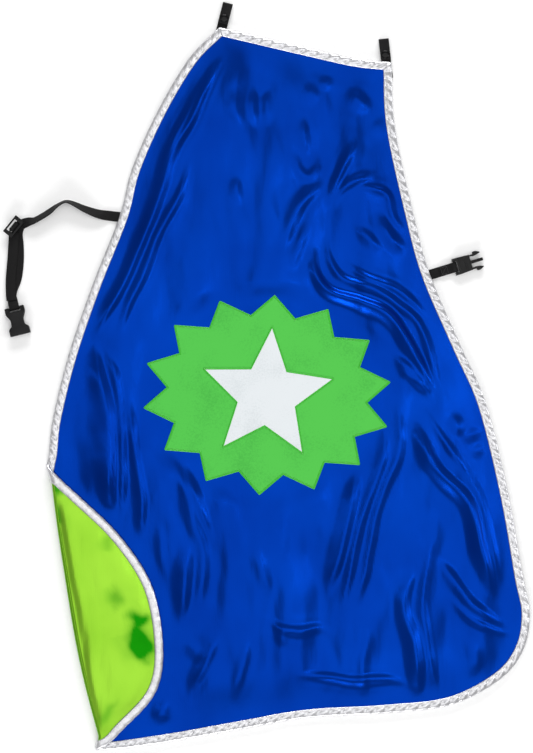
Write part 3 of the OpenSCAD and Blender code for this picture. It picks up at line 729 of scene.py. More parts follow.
def flap_grid(columns, rows):
    """Plan points all over the turned-over corner: straight lines from the fold to the corner's edge. Also
    where along the fold it starts and ends."""
    edge = through(FLAP_RIM, 2 * MM)
    edge = edge[slice(*(np.flatnonzero(edge[:, 0] >= BEND)[[0, -1]] + (0, 1)))]
    edge[[0, -1], 0] = BEND
    edge = even(edge, rows)
    fold = np.linspace(edge[0], edge[-1], rows)
    s = np.linspace(0, 1, columns)[None, :, None]
    return (1 - s) * fold[:, None] + s * edge[:, None], edge[0, 1], edge[-1, 1]


class CAPE_OT_corner(bpy.types.Operator):
    """Make the turned-over corner and the cloth that bends round the fold"""
    bl_idname = "cape.corner"
    bl_label = "Turned-over corner"

    def execute(self, context):
        grid, first, last = flap_grid(64, 150)
        m, n = grid.shape[:2]
        flat = grid.reshape(-1, 2)
        xy, _ = fold_over(-flat[:, 0], flat[:, 1], np.zeros(len(flat)))
        lift = flap_lift(xy[:, 0], xy[:, 1])
        # painted shade: the lining's colour is darkened as far as it is crushed in
        painted_shade = np.clip(flap_hollow(xy[:, 0], xy[:, 1]) / (1.5 * MM), 0, 1)
        low_tops = {"front": FRONT_TOP, "lining": FRONT_TOP - SHEET_T - SHEET_GAP}
        _, cape_first, cape_last = cape_grid(4, 4)
        turn = np.linspace(0, 1, 25)[None]
        share = np.linspace(0, 1, 150)[:, None]
        uu = BEND * (1 - 2 * turn) + 0 * share
        vv = ((1 - turn) * (cape_first + (cape_last - cape_first) * share)
              + turn * (first + (last - first) * share))
        for kind, key, slot, node, fold_node, below in (
                ("front", "blue", "blue_satin", "corner_front", "front_fold", "satin_front"),
                ("lining", "lime", "lime_satin", "corner_lining", "lining_fold", "corner_satin_front")):
            z = low_tops[kind]
            over = 2 * FOLD_Z - z
            low = np.column_stack([xy, over + lift]).reshape(m, n, 3)
            high = low + (0, 0, SHEET_T)
            obj = slab(f"corner_satin_{kind}", high, low, finish(key), xy, painted_shade if kind == "lining" else None)
            hand_over(obj, "corner", slot, node)
            layers = []
            for height in (z, z - SHEET_T):
                bent, lifted = fold_over(uu.ravel(), vv.ravel(), np.full(uu.size, height))
                layers.append(np.column_stack([bent, lifted]).reshape(*uu.shape, 3))
            # painted shade: the cloth round the fold is darkened evenly, 0.35 of the way to the deep colour
            bend = slab(f"fold_satin_{kind}", layers[0], layers[1], finish(key),
                        np.column_stack([uu.ravel(), vv.ravel()]), 0.35 + 0 * uu.ravel())
            hand_over(bend, None, slot, fold_node)
            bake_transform(bend)
        return {"FINISHED"}


# ---------------------------------------------------------------- the binding

# The folded tape's section, from the inner edge of its lower leg round the rim to that of its upper leg,
# and back along the channel that holds the satin: millimetres in from the rim, and millimetres up
OUTSIDE = ((8.5, 0.75), (7.6, 0.42), (6.2, 0.24), (4.6, 0.16), (3.0, 0.2), (1.7, 0.42), (0.8, 0.85), (0.25, 1.5),
           (0.02, 2.3), (0.15, 3.1), (0.65, 3.75), (1.6, 4.2), (2.9, 4.42), (4.2, 4.42), (5.4, 4.3), (6.2, 4.02),
           (6.9, 4.12), (7.7, 4.08), (8.3, 3.8))
INSIDE = ((8.5, 3.35), (7.2, 3.22), (4.4, 3.22), (1.9, 3.2), (1.2, 2.8), (1.2, 2.0), (1.9, 1.58), (4.4, 1.56),
          (7.2, 1.56))


def mitred(line, start, end):
    """For a stretch of rim, the level vectors that its sections lie along, one unit deep: square to it, and
    at each end turned to the mitre given there, within 22 mm."""
    depth = inward(line)
    s = lengths(line)
    for vector, at in ((start, s), (end, s[-1] - s)):
        if vector is not None:
            k = (1 - rise(at, 0, 22 * MM))[:, None]
            depth = depth * (1 - k) + vector * k
    return depth


def creases(s, seed):
    """The phase of the binding's gathers along its length: one for each 8 to 14 mm, at random."""
    steps = np.random.default_rng(seed).uniform(8, 14, 400) * MM
    return np.interp(s, np.concatenate([[0], np.cumsum(steps)]), np.arange(401))


def whole_rim():
    """The outer rim of the cape laid flat, as fold distances: the neck, and all the rest from the neck's
    right corner round the unfolded corner to its left one."""
    flap = FLAP_RIM[::-1] * (-1, 1)
    loop = np.vstack([MAIN_RIM, flap])
    loop = np.roll(loop, -NECK[0], axis=0)
    neck_end = NECK[1] - NECK[0]
    neck, rest = loop[:neck_end + 1], np.vstack([loop[neck_end:], loop[:1]])
    return through(neck, 1.1 * MM), through(rest, 1.1 * MM)


def mitre(before, after):
    """The level vector along which two stretches meet, one unit deep in both."""
    a, b = inward(before)[-1], inward(after)[0]
    m = (a + b) / np.linalg.norm(a + b)
    return m / (m @ a)


def binding_rings(line, depth, seed):
    """The binding's rings along a rim, in fold distances and heights: its section, with diagonal gathers on
    the outside and a rim that scallops with them."""
    section = np.array(OUTSIDE + INSIDE) * MM
    deep, height = section[:, 0], section[:, 1]
    s = lengths(line)
    phase = creases(s, seed)
    outside = np.concatenate([np.ones(len(OUTSIDE)), np.zeros(len(INSIDE))])
    tuck = rise(deep, 0.1 * MM, 1.5 * MM) * rise(7.6 * MM - deep, 0, 1.6 * MM) * outside
    slant = deep / (11 * MM)
    wave = np.abs(np.sin(np.pi * (phase[:, None] + slant[None]))) ** 0.7
    fine = np.sin(2 * np.pi * (s[:, None] / (3.1 * MM) + 1.4 * slant[None]) + 3 * np.sin(s[:, None] / (17 * MM)))
    gather = bpy.context.scene.cape_trim.gather
    up = np.where(height > 2.4 * MM, 1.0, -0.12)
    rim_wave = np.abs(np.sin(np.pi * phase)) ** 0.7
    puff = (1.5 * wave - 1.05 + 0.14 * fine) * tuck * up * gather
    shift = (0.45 * (rim_wave - 0.6) * gather)[:, None] * (1 - rise(deep, 0, 3 * MM))[None]
    away = -SEAM_IN + deep[None] - shift
    flat = line[:, None, :2] + depth[:, None] * away[..., None]
    return flat, np.broadcast_to(height, puff.shape) + puff, s, phase


class CAPE_OT_binding(bpy.types.Operator):
    """Make the silver binding round every edge of the cape: a folded tape's section swept along the rim"""
    bl_idname = "cape.binding"
    bl_label = "Edge binding"

    def execute(self, context):
        neck, rest = whole_rim()
        left_corner, right_corner = mitre(rest, neck), mitre(neck, rest)
        stretches = (("neck", neck, mitred(neck, left_corner, right_corner), 21),
                     ("rim", rest, mitred(rest, right_corner, left_corner), 22))
        for name, line, depth, seed in stretches:
            flat, height, s, phase = binding_rings(line, depth, seed)
            self.lay(name, flat, height, s, line)
        return {"FINISHED"}

    def lay(self, name, flat, height, s, line):
        """Folds the rings over, lifts them with the cloth, and cuts the run where it goes round the fold."""
        m, k = height.shape
        u, v = flat[..., 0].ravel(), flat[..., 1].ravel()
        xy, z = fold_over(u, v, height.ravel())
        mid = line[:, :2] + 4 * MM * inward(line)
        on_cape = mid[:, 0] > 0
        mid_xy, _ = fold_over(mid[:, 0], mid[:, 1], np.zeros(m))
        lift = np.where(on_cape, front_lift(mid_xy[:, 0], mid_xy[:, 1]), flap_lift(mid_xy[:, 0], mid_xy[:, 1]))
        lift = lift * rise(np.abs(mid[:, 0]), 10 * MM, 26 * MM)
        z = z + np.repeat(lift, k)
        points = np.column_stack([xy, z]).reshape(m, k, 3)
        uv = np.column_stack([np.repeat(s, k), np.tile(np.arange(k) * 0.6 * MM, m)])
        if name == "neck":
            obj = tube("binding_neck", points, finish("silver"), uv)
            hand_over(obj, "cape", "silver_binding", "neck_binding")
            return
        # each quad goes to the cape, to the corner, or to the two bends between them
        a = np.arange(m * k).reshape(m, k)
        faces = quads(np.hstack([a, a[:, :1]]))
        ends = np.vstack([quads(np.stack([e[:k // 2], e[::-1][:k // 2]])) for e in (a[0], a[-1])])
        over = u[faces]
        bent = (np.abs(over) < BEND).any(axis=1)
        cape = ~bent & (over > 0).all(axis=1)
        corner = ~bent & (over < 0).all(axis=1)
        right_of_hem = faces[:, 0] // k
        cut = self.hem_start(line)
        left_of = right_of_hem > m // 2
        side = cape & ~left_of & (right_of_hem < cut)
        hem = cape & ~left_of & ~side
        left = cape & left_of
        for piece, chosen, body, nodes in (
                ("binding_right", side, "cape", ("right_binding",)),
                ("binding_hem", hem, "cape", ("hem_binding",)),
                ("binding_left", left, "cape", ("left_binding",)),
                ("binding_corner", corner, "corner", ("corner_binding",)),
                ("binding_fold", bent, None, ("binding_folds",))):
            these = faces[chosen]
            if piece in ("binding_right", "binding_left"):
                these = np.vstack([these, ends[:len(ends) // 2] if piece == "binding_right" else ends[len(ends) // 2:]])
            used, index = np.unique(these, return_inverse=True)
            obj = make(piece, points.reshape(-1, 3)[used], index.reshape(-1, 4), finish("silver"), uv[used],
                       closed=False)
            face_outwards(obj)
            hand_over(obj, body, "silver_binding", *nodes)
            if piece == "binding_fold":
                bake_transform(obj)

    def hem_start(self, line):
        """The ring at which the right side's binding ends and the hem's begins."""
        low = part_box("right_binding")[0]
        xy = from_fold(line)
        return int(np.argmax(xy[:, 1] < low.y + 4 * MM))


def face_outwards(obj):
    """Turns a tube's faces outwards."""
    bm = bmesh.new()
    bm.from_mesh(obj.data)
    bmesh.ops.recalc_face_normals(bm, faces=bm.faces)
    bm.to_mesh(obj.data)
    bm.free()


# ---------------------------------------------------------------- the emblem

POINTS = 14
DIP = 0.8
STAR_DIP = 0.45
EMBLEM_TURN = math.radians(-4.4)


def star_outline(points, across, tall, dip):
    """The corners of a star: points out at the full reach and between them at dip times it."""
    a = np.pi / 2 - np.pi * np.arange(2 * points) / points
    r = np.where(np.arange(2 * points) % 2 == 0, 1, dip)
    return np.column_stack([r * np.cos(a) * across, r * np.sin(a) * tall])


def on_emblem(p):
    """Points of the emblem turned and moved to its place."""
    c, s = math.cos(EMBLEM_TURN), math.sin(EMBLEM_TURN)
    return p @ np.array([[c, s], [-s, c]]) + EMBLEM_AT[:2]


def patch_rings(corners, rings, per_edge, base, thick, puff):
    """A padded patch: its outline shrunk in rings to its middle, higher towards the middle of its width,
    and an underside."""
    loop = np.vstack([corners, corners[:1]])
    t = np.arange(per_edge)[:, None] / per_edge
    edge = (loop[:-1, None] * (1 - t) + loop[1:, None] * t).reshape(-1, 2)
    share = np.linspace(1, 0, rings)[:, None, None]
    flat = on_emblem((edge[None] * share).reshape(-1, 2))
    lift = front_lift(flat[:, 0], flat[:, 1])
    share = np.repeat(share.ravel(), len(edge))
    crown = puff * rise(1 - share, 0, 0.12)
    top = np.column_stack([flat, base + thick + crown + lift]).reshape(rings, -1, 3)
    low = np.column_stack([flat, base + lift]).reshape(rings, -1, 3)
    return top, low


def patch(name, corners, material, base, thick, puff=0.0, rings=40, per_edge=10):
    top, low = patch_rings(corners, rings, per_edge, base, thick, puff)
    k = top.shape[1]
    a = np.arange(rings * k).reshape(rings, k)
    around = lambda g: np.hstack([g, g[:, :1]])
    b = a + rings * k
    faces = np.vstack([quads(around(a)), quads(around(b))[:, ::-1], quads(around(np.stack([b[0], a[0]])))])
    return make(name, np.vstack([top.reshape(-1, 3), low.reshape(-1, 3)]), faces, material)


def satin_stitch(name, corners, width, high, base, material):
    """Satin stitch over an edge: a low arch carried round the outline, ribbed by each turn of thread."""
    loop = np.vstack([corners, corners[:1]])
    step = 0.3 * MM
    line = even(loop, int(lengths(loop)[-1] / step))[:-1]
    ahead = np.roll(line, -3, axis=0) - np.roll(line, 3, axis=0)
    ahead /= np.linalg.norm(ahead, axis=1)[:, None]
    right = np.column_stack([ahead[:, 1], -ahead[:, 0]])
    s = np.arange(len(line)) * step
    # thread lies 0.4 mm apart, drawn 1.2 mm apart so that it shows
    rib = np.abs(np.sin(np.pi * s / (1.2 * MM)))
    angle = np.linspace(0, np.pi, 7)
    reach = np.concatenate([np.cos(angle), [-0.6, 0.6]])
    arch = np.concatenate([np.sin(angle), [-0.1, -0.1]])
    flat = line[:, None] + right[:, None] * (reach * width / 2)[None, :, None]
    flat = on_emblem(flat.reshape(-1, 2))
    lift = front_lift(flat[:, 0], flat[:, 1])
    z = base + lift + ((0.78 + 0.22 * rib)[:, None] * np.maximum(arch, 0)[None] * high
                       + np.minimum(arch, 0)[None] * high).ravel()
    rings = np.column_stack([flat, z]).reshape(len(line), -1, 3)
    return tube(name, rings, material, loop=True)


class CAPE_OT_emblem(bpy.types.Operator):
    """Make the starburst patch, its star and their satin-stitched edges"""
    bl_idname = "cape.emblem"
    bl_label = "Emblem"

    def execute(self, context):
        reach = 68 * MM
        across, tall = 125 * MM, 100 * MM
        base = FRONT_TOP + 0.06 * MM
        burst = star_outline(POINTS, across - 1.1 * MM, tall - 1.1 * MM, DIP)
        star = star_outline(5, reach, reach, STAR_DIP)
        hand_over(patch("emblem_patch", burst, finish("green"), base, 0.5 * MM, 0.15 * MM, 48, 10),
                  "cape", "green_applique", "emblem_burst")
        hand_over(patch("emblem_star_patch", star, finish("white"), base + 0.66 * MM, 0.5 * MM, 0.25 * MM, 40, 16),
                  "cape", "white_applique", "emblem_star")
        hand_over(satin_stitch("emblem_stitched_edge", burst, 2.4 * MM, 0.95 * MM, base, finish("green_thread")),
                  "cape", "green_thread", "emblem_edge_stitching")
        hand_over(satin_stitch("star_stitched_edge", star, 2.0 * MM, 0.8 * MM, base + 0.6 * MM,
                               finish("green_thread")), "cape", "green_thread")
        return {"FINISHED"}


# ---------------------------------------------------------------- straps

WEB_W = 10 * MM
WEB_T = 1.1 * MM


def strap_rings(route, width=WEB_W, thick=WEB_T, across=14):
    """Webbing along a route of x, y, z and roll: at each point a flat section with round edges, level at roll
    0 and on its edge at roll 90. Also the distance along and across, for the weave."""
    p = route[:, :3]
    along = np.gradient(p, axis=0)
    along /= np.linalg.norm(along, axis=1)[:, None]
    level = np.column_stack([-along[:, 1], along[:, 0], np.zeros(len(p))])
    level /= np.linalg.norm(level, axis=1)[:, None]
    upright = np.cross(along, level)
    roll = np.radians(route[:, 3])[:, None]
    side = level * np.cos(roll) + upright * np.sin(roll)
    face = np.cross(along, side)
    a = np.pi * np.linspace(0, 1, across)
    y = -np.sign(np.cos(a)) * np.abs(np.cos(a)) ** 0.7 * width / 2
    z = np.minimum(1, (np.sin(a) * 5)) ** 0.5 * thick / 2
    y, z = np.concatenate([y, y[::-1]]), np.concatenate([z, -z[::-1]])
    rings = p[:, None] + side[:, None] * y[None, :, None] + face[:, None] * z[None, :, None]
    uv = np.column_stack([np.repeat(lengths(p), len(y)), np.tile(y, len(p))])
    return rings, uv


def side_route(points, origin, angle, spacing=0.7 * MM):
    """A route in a strap's own upright plane: distances out from origin at angle, and heights, all level
    across."""
    line = through(np.array(points) * MM, spacing)
    out = np.array([math.cos(angle), math.sin(angle)])
    return np.column_stack([np.array(origin) + line[:, :1] * out, line[:, 1], np.zeros(len(line))])


def strip_rings(route, across_dir, width=WEB_W, thick=WEB_T, across=14):
    """Webbing that may turn right back on itself: a section square to the route, with one level direction
    across it all the way."""
    p = route[:, :3]
    along = np.gradient(p, axis=0)
    along /= np.linalg.norm(along, axis=1)[:, None]
    side = np.broadcast_to(np.array([*across_dir, 0.0]), p.shape)
    face = np.cross(along, side)
    a = np.pi * np.linspace(0, 1, across)
    y = -np.sign(np.cos(a)) * np.abs(np.cos(a)) ** 0.7 * width / 2
    z = np.minimum(1, (np.sin(a) * 5)) ** 0.5 * thick / 2
    y, z = np.concatenate([y, y[::-1]]), np.concatenate([z, -z[::-1]])
    rings = p[:, None] + side[:, None] * y[None, :, None] + face[:, None] * z[None, :, None]
    uv = np.column_stack([np.repeat(lengths(p), len(y)), np.tile(y, len(p))])
    return rings, uv


def joint(name):
    return next(j for j in frame["joints"] if j["name"] == name)


def hinge_line(name):
    """A joint's place, and the level angle square to its axis that points away from the cape."""
    j = joint(name)
    place = np.array(j["pos_m"])
    a = np.array(j["axis"])
    return place, math.atan2(a[0], -a[1])


BAR_Z = 2.9
TURN_R = 1.55


def round_bar(x, start=-90, stop=90, step=15, sense=1):
    """Points of webbing round a bar at x: a half circle."""
    a = np.radians(np.arange(start, stop + sense, step * sense))
    return [(x + TURN_R * math.cos(t), BAR_Z + TURN_R * math.sin(t)) for t in a]


# The long strap's route from the fold line: x, y and z in millimetres, and its roll in degrees
LONG_ROUTE = ((-0.15, 0.02, 1.15, 0), (-5, 0.6, 1.15, 0), (-15.5, 2.2, 3, 28), (-29, 7, 4.6, 50),
              (-46, 14.4, 5.6, 72), (-55.5, 11.4, 5.6, 70), (-64, 5, 4.9, 56), (-71, 0.4, 4.7, 54),
              (-80, -4.4, 4.4, 50), (-87, -6, 2.6, 22), (-93.6, -9, 1.15, 4), (-96.6, -17, 1.15, 0),
              (-95.6, -30, 1.15, 0), (-95.6, -46, 1.15, 0), (-97.6, -62, 1.15, 0), (-101.6, -72.5, 1.15, 0))
RETURN_ROUTE = ((-102.6, -84, 3.4, 0), (-103.4, -76, 2.5, 0), (-103.4, -62, 2.5, 0), (-101.6, -40, 2.5, 0),
                (-100.2, -16, 2.5, 0))


class CAPE_OT_long_strap(bpy.types.Operator):
    """Make the adjustable strap, from under the lining to the buckle's socket and back to the slider"""
    bl_idname = "cape.long_strap"
    bl_label = "Long strap"

    def execute(self, context):
        root, angle = hinge_line("long_strap_fold")
        bar, bar_angle = hinge_line("socket_tilt")
        inward = -np.array([math.cos(angle), math.sin(angle)])
        sewn = [(*(root[:2] + inward * d * MM), 1.15 * MM, 0) for d in (20, 12, 5)]
        base = np.array([*root[:2], 0, 0])
        free = [base + np.array([x * MM, y * MM, z * MM, r]) for x, y, z, r in LONG_ROUTE]
        to_bar = np.array([math.cos(bar_angle), math.sin(bar_angle)])
        last = [(*(bar[:2] - to_bar * d * MM), 1.15 * MM, 0) for d in (13, 10, 7.05)]
        route = through(np.vstack([sewn, free[1:], last]), 0.7 * MM)
        rings, uv = strap_rings(route)
        strap = tube("long_strap_webbing", rings, finish("webbing"), uv)
        hand_over(strap, None, "webbing", "long_strap_anchor", "long_strap")
        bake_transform(strap)
        turn = [(-7, 1.15), (-3, 1.27), *round_bar(0), (-2.2, BAR_Z + 1.4), (-4.6, BAR_Z + 0.9), (-7, 3.4)]
        loop = side_route(turn, bar[:2], bar_angle, 0.5 * MM)
        rings, uv = strip_rings(loop, (-to_bar[1], to_bar[0]))
        hand_over(tube("bar_loop_webbing", rings, finish("webbing"), uv), "strap_long", "webbing",
                  "long_strap_bar_loop")
        back = through(np.array([base + np.array([x * MM, y * MM, z * MM, r]) for x, y, z, r in RETURN_ROUTE]),
                       0.7 * MM)
        rings, uv = strap_rings(back)
        layer = tube("return_webbing", rings, finish("webbing"), uv)
        hand_over(layer, None, "webbing", "long_strap_return")
        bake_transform(layer)
        return {"FINISHED"}


class CAPE_OT_short_strap(bpy.types.Operator):
    """Make the short strap, looped round the plug's bar and sewn down"""
    bl_idname = "cape.short_strap"
    bl_label = "Short strap"

    def execute(self, context):
        root, angle = hinge_line("short_strap_fold")
        out = np.array([math.cos(angle), math.sin(angle)])
        bar = joint("plug_tilt")["pos_m"]
        reach = float((np.array(bar[:2]) - root[:2]) @ out) / MM
        second = 2.35
        path = [(-20, 1.15), (-10, 1.15), (reach - 7, 1.15), (reach - 3, 1.27), *round_bar(reach),
                (reach - 2.2, BAR_Z + 1.25), (reach - 4.6, second + 0.5), (reach - 7, second), (6, second)]
        route = side_route(path, root[:2], angle, 0.5 * MM)
        rings, uv = strip_rings(route, (-out[1], out[0]))
        strap = tube("short_strap_webbing", rings, finish("webbing"), uv)
        hand_over(strap, None, "webbing", "short_strap_anchor", "short_strap_loop")
        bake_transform(strap)
        sew_box(root[:2], out, 7, reach - 8, 7, second + 0.55)
        return {"FINISHED"}


def sew_box(origin, out, first, last, width, z):
    """A box of stitches: a run of short thread arches round an oblong, and across it."""
    w = width / 2
    corner = np.array([(first, -w), (last, -w), (last, w), (first, w), (first, -w), (last, w)], float)
    line = even(corner, int(lengths(corner)[-1] / 0.25)) * MM
    s = lengths(line)
    arch = np.sin(np.pi * (s / (1.8 * MM) % 1))
    across = np.array([-out[1], out[0]])
    centre = np.column_stack([np.array(origin) + line[:, :1] * out + line[:, 1:2] * across,
                              z * MM + 0.16 * MM * arch - 0.05 * MM])
    rings = round_rings(centre, 0.26 * MM, 6)
    hand_over(tube("box_stitches", rings, finish("black_thread")), "strap_short", "black_thread",
              "short_strap_stitching")


def round_rings(centre, radius, sides):
    """A round cord's rings about a line of points."""
    along = np.gradient(centre, axis=0)
    along /= np.linalg.norm(along, axis=1)[:, None]
    level = np.column_stack([-along[:, 1], along[:, 0], np.zeros(len(centre))])
    level /= np.maximum(np.linalg.norm(level, axis=1), 1e-9)[:, None]
    upright = np.cross(along, level)
    a = 2 * np.pi * (np.arange(sides) + 0.5) / sides
    return centre[:, None] + radius * (level[:, None] * np.cos(a)[None, :, None]
                                       + upright[:, None] * np.sin(a)[None, :, None])


class CAPE_OT_tabs(bpy.types.Operator):
    """Make the two shoulder tabs with their press studs"""
    bl_idname = "cape.tabs"
    bl_label = "Shoulder tabs"

    def execute(self, context):
        for side in ("left", "right"):
            j = joint(f"{side}_tab_open")
            place = np.array(j["pos_m"])
            axis = np.array(j["axis"])
            back = np.array([-axis[1], axis[0]])
            if back @ (-place[:2]) < 0:
                back = -back
            low, gap, length = 1.15, 2.3, 38
            bend = [(0.15 - 1.15 * math.sin(t), gap - 1.15 * math.cos(t)) for t in np.linspace(0, np.pi, 9)]
            path = [(length, low), (26, low), (12, low), (3, low), *bend, (3, 3.45), (10, 3.45), (20, 3.45)]
            angle = math.atan2(back[1], back[0])
            route = side_route(path, place[:2], angle, 0.45 * MM)
            rings, uv = strip_rings(route, (-back[1], back[0]))
            tab = tube(f"{side}_tab_webbing", rings, finish("webbing"), uv)
            hand_over(tab, None, "webbing", f"{side}_tab_back", f"{side}_tab_fold", f"{side}_tab_flap")
            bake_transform(tab)
            stud_at = np.array([*(place[:2] + back * 14.5 * MM), 0])
            for name, node, body, profile in (
                    ("cap", "cap", f"{side}_tab", ((0, 4.75), (1.2, 4.78), (2.4, 4.72), (3.2, 4.55), (3.75, 4.3),
                                                   (4.0, 4.12), (3.9, 4.02), (2.0, 4.01), (0, 4.01))),
                    ("socket_ring", "socket_ring", f"{side}_tab",
                     ((2.0, 2.86), (4.0, 2.88), (3.9, 2.3), (3.4, 2.1), (2.4, 2.06), (2.05, 2.15), (2.0, 2.86))),
                    ("stud", "stud", "cape", ((0, 1.72), (3.7, 1.72), (3.72, 1.85), (3.4, 1.95), (1.6, 1.98),
                                              (1.55, 2.2), (1.9, 2.45), (1.7, 2.66), (0.9, 2.74), (0, 2.75))),
                    ("stud_post", "stud_post", "cape", ((0, 0.12), (2.8, 0.14), (3.45, 0.3), (3.5, 0.5), (1.2, 0.58),
                                                        (1.15, 1.7), (0, 1.7)))):
                hand_over(turned(f"{side}_{name}_moulding", profile, stud_at, finish("snap")), body, "snap",
                          f"{side}_{node}")
        return {"FINISHED"}


def turned(name, profile, centre, material, sides=40):
    """A round moulding: a profile of radius and height, in millimetres, turned about an upright line."""
    p = np.array(profile) * MM
    a = 2 * np.pi * np.arange(sides) / sides
    ring = np.stack([np.cos(a), np.sin(a)], axis=-1)
    points = np.concatenate([p[:, None, :1] * ring[None], np.broadcast_to(p[:, None, 1:], (len(p), sides, 1))],
                            axis=-1) + centre
    index = np.arange(len(p) * sides).reshape(len(p), sides)
    return make(name, points.reshape(-1, 3), quads(np.hstack([index, index[:, :1]])), material)


# ---------------------------------------------------------------- buckle and slider

def moulded(name, node, radius, material):
    """A moulding from a copy of its CAD node: loose triangles merged, flat faces joined and edges rounded."""
    mesh = bpy.data.meshes.new(name)
    bm = bmesh.new()
    bm.from_mesh(frame["nodes"][node].data)
    bmesh.ops.remove_doubles(bm, verts=bm.verts, dist=0.01 * MM)
    bmesh.ops.dissolve_limit(bm, angle_limit=math.radians(1), verts=bm.verts, edges=bm.edges)
    bm.to_mesh(mesh)
    bm.free()
    mesh.materials.clear()
    mesh.materials.append(material)
    mesh.shade_smooth()
    obj = bpy.data.objects.new(name, mesh)
    bpy.context.scene.collection.objects.link(obj)
    bevel = obj.modifiers.new("rounded", "BEVEL")
    bevel.width = radius
    bevel.segments = 3
    bevel.limit_method = "ANGLE"
    bevel.angle_limit = math.radians(28)
    bevel.harden_normals = True
    return obj


class CAPE_OT_buckle(bpy.types.Operator):
    """Make the buckle's socket and plug, and the slider"""
    bl_idname = "cape.buckle"
    bl_label = "Buckle and slider"

    def execute(self, context):
        for name, node, body, radius in (
                ("socket_moulding", "buckle_socket", "socket", 0.35),
                ("plug_moulding", "buckle_plug", "plug", 0.3),
                ("prong_left_moulding", "plug_prong_left", "prong_left", 0.3),
                ("prong_right_moulding", "plug_prong_right", "prong_right", 0.3),
                ("slider_moulding", "strap_slider", "slider", 0.3)):
            hand_over(moulded(name, node, radius * MM, finish("acetal")), body, "acetal", node)
        return {"FINISHED"}


class CAPE_OT_slider_end(bpy.types.Operator):
    """Make the strap's end, sewn round the slider's middle bar"""
    bl_idname = "cape.slider_end"
    bl_label = "Strap end"

    def execute(self, context):
        frame_low, frame_high = (np.array(c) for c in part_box("strap_slider"))
        centre = (frame_low + frame_high)[:2] / 2
        angle = math.radians(-39)                         # the slider's turn on the strap
        middle = 5.2                                      # height of its middle bar, in millimetres
        turn = [(TURN_R * math.cos(t), middle + TURN_R * math.sin(t)) for t in np.radians(np.arange(-90, -271, -15))]
        path = [(3.2, middle - TURN_R), *turn, (1.3, middle + 1.3), (2.4, middle + 0.2), (3.4, middle - 0.35)]
        route = side_route(path, centre, angle, 0.4 * MM)
        rings, uv = strip_rings(route, (-math.sin(angle), math.cos(angle)))
        hand_over(tube("slider_end_webbing", rings, finish("webbing"), uv), "slider", "webbing", "slider_strap_end")
        return {"FINISHED"}


# ---------------------------------------------------------------- stage

def area_light(name, place, aim, size, watts, tint="#FFFFFF"):
    """A rectangular softbox at place, turned to aim."""
    data = bpy.data.lights.new(name, "AREA")
    data.shape = "RECTANGLE"
    data.size, data.size_y = size
    data.energy = watts
    data.color = colour(tint)
    obj = bpy.data.objects.new(name, data)
    obj.location = place
    away = np.array(place) - np.array(aim)
    obj.rotation_euler = Vector(away).to_track_quat("Z", "Y").to_euler()
    bpy.context.scene.collection.objects.link(obj)
    return obj


class CAPE_OT_stage(bpy.types.Operator):
    """Make the floor, the lights and the camera that looks straight down"""
    bl_idname = "cape.stage"
    bl_label = "Stage"

    def execute(self, context):
        scene = context.scene
        stage = scene.cape_stage
        size = 4.0
        corners = np.array([(-size, -size, 0), (size, -size, 0), (size, size, 0), (-size, size, 0)])
        m, tree, bsdf = material("matt_white_board", Roughness=0.9)
        bsdf.inputs["Specular IOR Level"].default_value = 0.1
        at = add(tree, "ShaderNodeTexCoord").outputs["Object"]
        grain = add(tree, "ShaderNodeTexNoise", {"Vector": at, "Scale": 300.0, "Detail": 2.0})
        tone = add(tree, "ShaderNodeValToRGB", {"Fac": grain.outputs["Fac"]})
        tone.color_ramp.elements[0].color = rgba(colour("#FBFBFB"))
        tone.color_ramp.elements[1].color = rgba(colour("#FFFFFF"))
        tree.links.new(tone.outputs["Color"], bsdf.inputs["Base Color"])
        floor = make("floor", corners, np.array([[0, 1, 2, 3]]), m, closed=False)
        area_light("overhead_softbox", (0, -0.2, 2.9), (0, 0, 0), (2.1, 2.6), stage.over)
        area_light("east_strip", (1.75, 0.1, 2.3), (0, 0, 0), (0.1, 2.6), stage.key)
        area_light("west_strip", (-1.9, 0.2, 2.1), (0, 0, 0), (0.09, 2.4), stage.fill)
        area_light("east_softbox", (2.3, 0.1, 0.9), (0, 0, 0), (0.7, 1.6), stage.side)
        area_light("north_softbox", (0.1, 2.2, 0.95), (0, 0, 0), (1.6, 0.6), stage.top)
        area_light("south_softbox", (-0.3, -2.2, 0.8), (0, 0, 0), (1.6, 0.6), stage.top)
        world = bpy.data.worlds.new("studio")
        scene.world = world
        world.use_nodes = True
        world.node_tree.nodes["Background"].inputs["Color"].default_value = (1, 1, 1, 1)
        world.node_tree.nodes["Background"].inputs["Strength"].default_value = stage.ambient
        camera = bpy.data.cameras.new("camera")
        distance, tall = 2.2, 0.753
        camera.sensor_width = 36
        camera.lens = 36 * distance / tall
        camera.clip_end = 20
        obj = bpy.data.objects.new("camera", camera)
        obj.location = (0, -0.001, distance)
        obj.rotation_euler = (0, 0, 0)
        scene.collection.objects.link(obj)
        scene.camera = obj
        scene.view_settings.view_transform = "Standard"
        return {"FINISHED"}


# ---------------------------------------------------------------- add-on

class CapeCloth(bpy.types.PropertyGroup):
    front_colour: bpy.props.FloatVectorProperty(
        name="Front colour", description="Satin of the cape's front", subtype="COLOR", size=3,
        min=0, max=1, default=colour("#02349C"))
    lining_colour: bpy.props.FloatVectorProperty(
        name="Lining colour", description="Satin of the lining, which the turned-over corner shows",
        subtype="COLOR", size=3, min=0, max=1, default=colour("#90C836"))
    fold_height: bpy.props.FloatProperty(
        name="Fold height", description="How high the folds stand, against how they were drawn",
        default=1.0, min=0.0, max=1.5, subtype="FACTOR")


class CapeTrim(bpy.types.PropertyGroup):
    gather: bpy.props.FloatProperty(
        name="Gathers", description="Height of the gathers in the binding", default=0.75 * MM, min=0.0,
        max=1.5 * MM, unit="LENGTH", subtype="DISTANCE", precision=5)


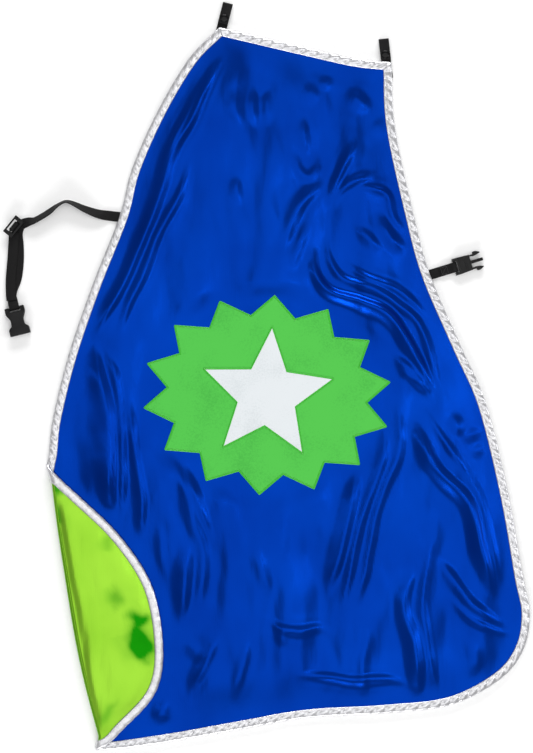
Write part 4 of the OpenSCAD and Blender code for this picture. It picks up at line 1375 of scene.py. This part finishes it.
class CapeStage(bpy.types.PropertyGroup):
    over: bpy.props.FloatProperty(name="Overhead light", description="Power of the softbox above the camera",
                                  default=22.0, min=0.0, unit="POWER")
    key: bpy.props.FloatProperty(name="East strip", description="Power of the strip light high on the right",
                                 default=10.0, min=0.0, unit="POWER")
    fill: bpy.props.FloatProperty(name="West strip", description="Power of the strip light high on the left",
                                  default=5.0, min=0.0, unit="POWER")
    side: bpy.props.FloatProperty(name="East light", description="Power of the low light on the right",
                                  default=8.0, min=0.0, unit="POWER")
    top: bpy.props.FloatProperty(name="End lights",
                                 description="Power of each low light, past the neck and past the hem",
                                 default=36.0, min=0.0, unit="POWER")
    ambient: bpy.props.FloatProperty(name="Ambient", description="Strength of the even light from all sides",
                                     default=0.28, min=0.0, subtype="FACTOR")


class CAPE_PT_build(bpy.types.Panel):
    """The cape's pieces, in the order that they are made"""
    bl_label = "Superhero cape"
    bl_idname = "CAPE_PT_build"
    bl_space_type = "VIEW_3D"
    bl_region_type = "UI"
    bl_category = "Cape"

    def draw(self, context):
        layout = self.layout
        scene = context.scene
        for group, keys in ((scene.cape_cloth, ("front_colour", "lining_colour", "fold_height")),
                            (scene.cape_trim, ("gather",)),
                            (scene.cape_stage, ("over", "key", "fill", "side", "top", "ambient"))):
            for key in keys:
                layout.prop(group, key)
        for operator in MAKERS:
            layout.operator(operator.bl_idname)


MAKERS = (CAPE_OT_stage, CAPE_OT_cloth, CAPE_OT_corner, CAPE_OT_binding, CAPE_OT_emblem, CAPE_OT_tabs,
          CAPE_OT_long_strap, CAPE_OT_slider_end, CAPE_OT_short_strap, CAPE_OT_buckle)
GROUPS = (("cape_cloth", CapeCloth), ("cape_trim", CapeTrim), ("cape_stage", CapeStage))


def register():
    for name, group in GROUPS:
        bpy.utils.register_class(group)
        setattr(bpy.types.Scene, name, bpy.props.PointerProperty(type=group))
    for c in (*MAKERS, CAPE_PT_build):
        bpy.utils.register_class(c)


def unregister():
    for c in reversed((*MAKERS, CAPE_PT_build)):
        bpy.utils.unregister_class(c)
    for name, group in GROUPS:
        delattr(bpy.types.Scene, name)
        bpy.utils.unregister_class(group)


def main():
    register()
    for operator in MAKERS:
        group, name = operator.bl_idname.split(".")
        getattr(getattr(bpy.ops, group), name)()


if __name__ == "__main__":
    main()
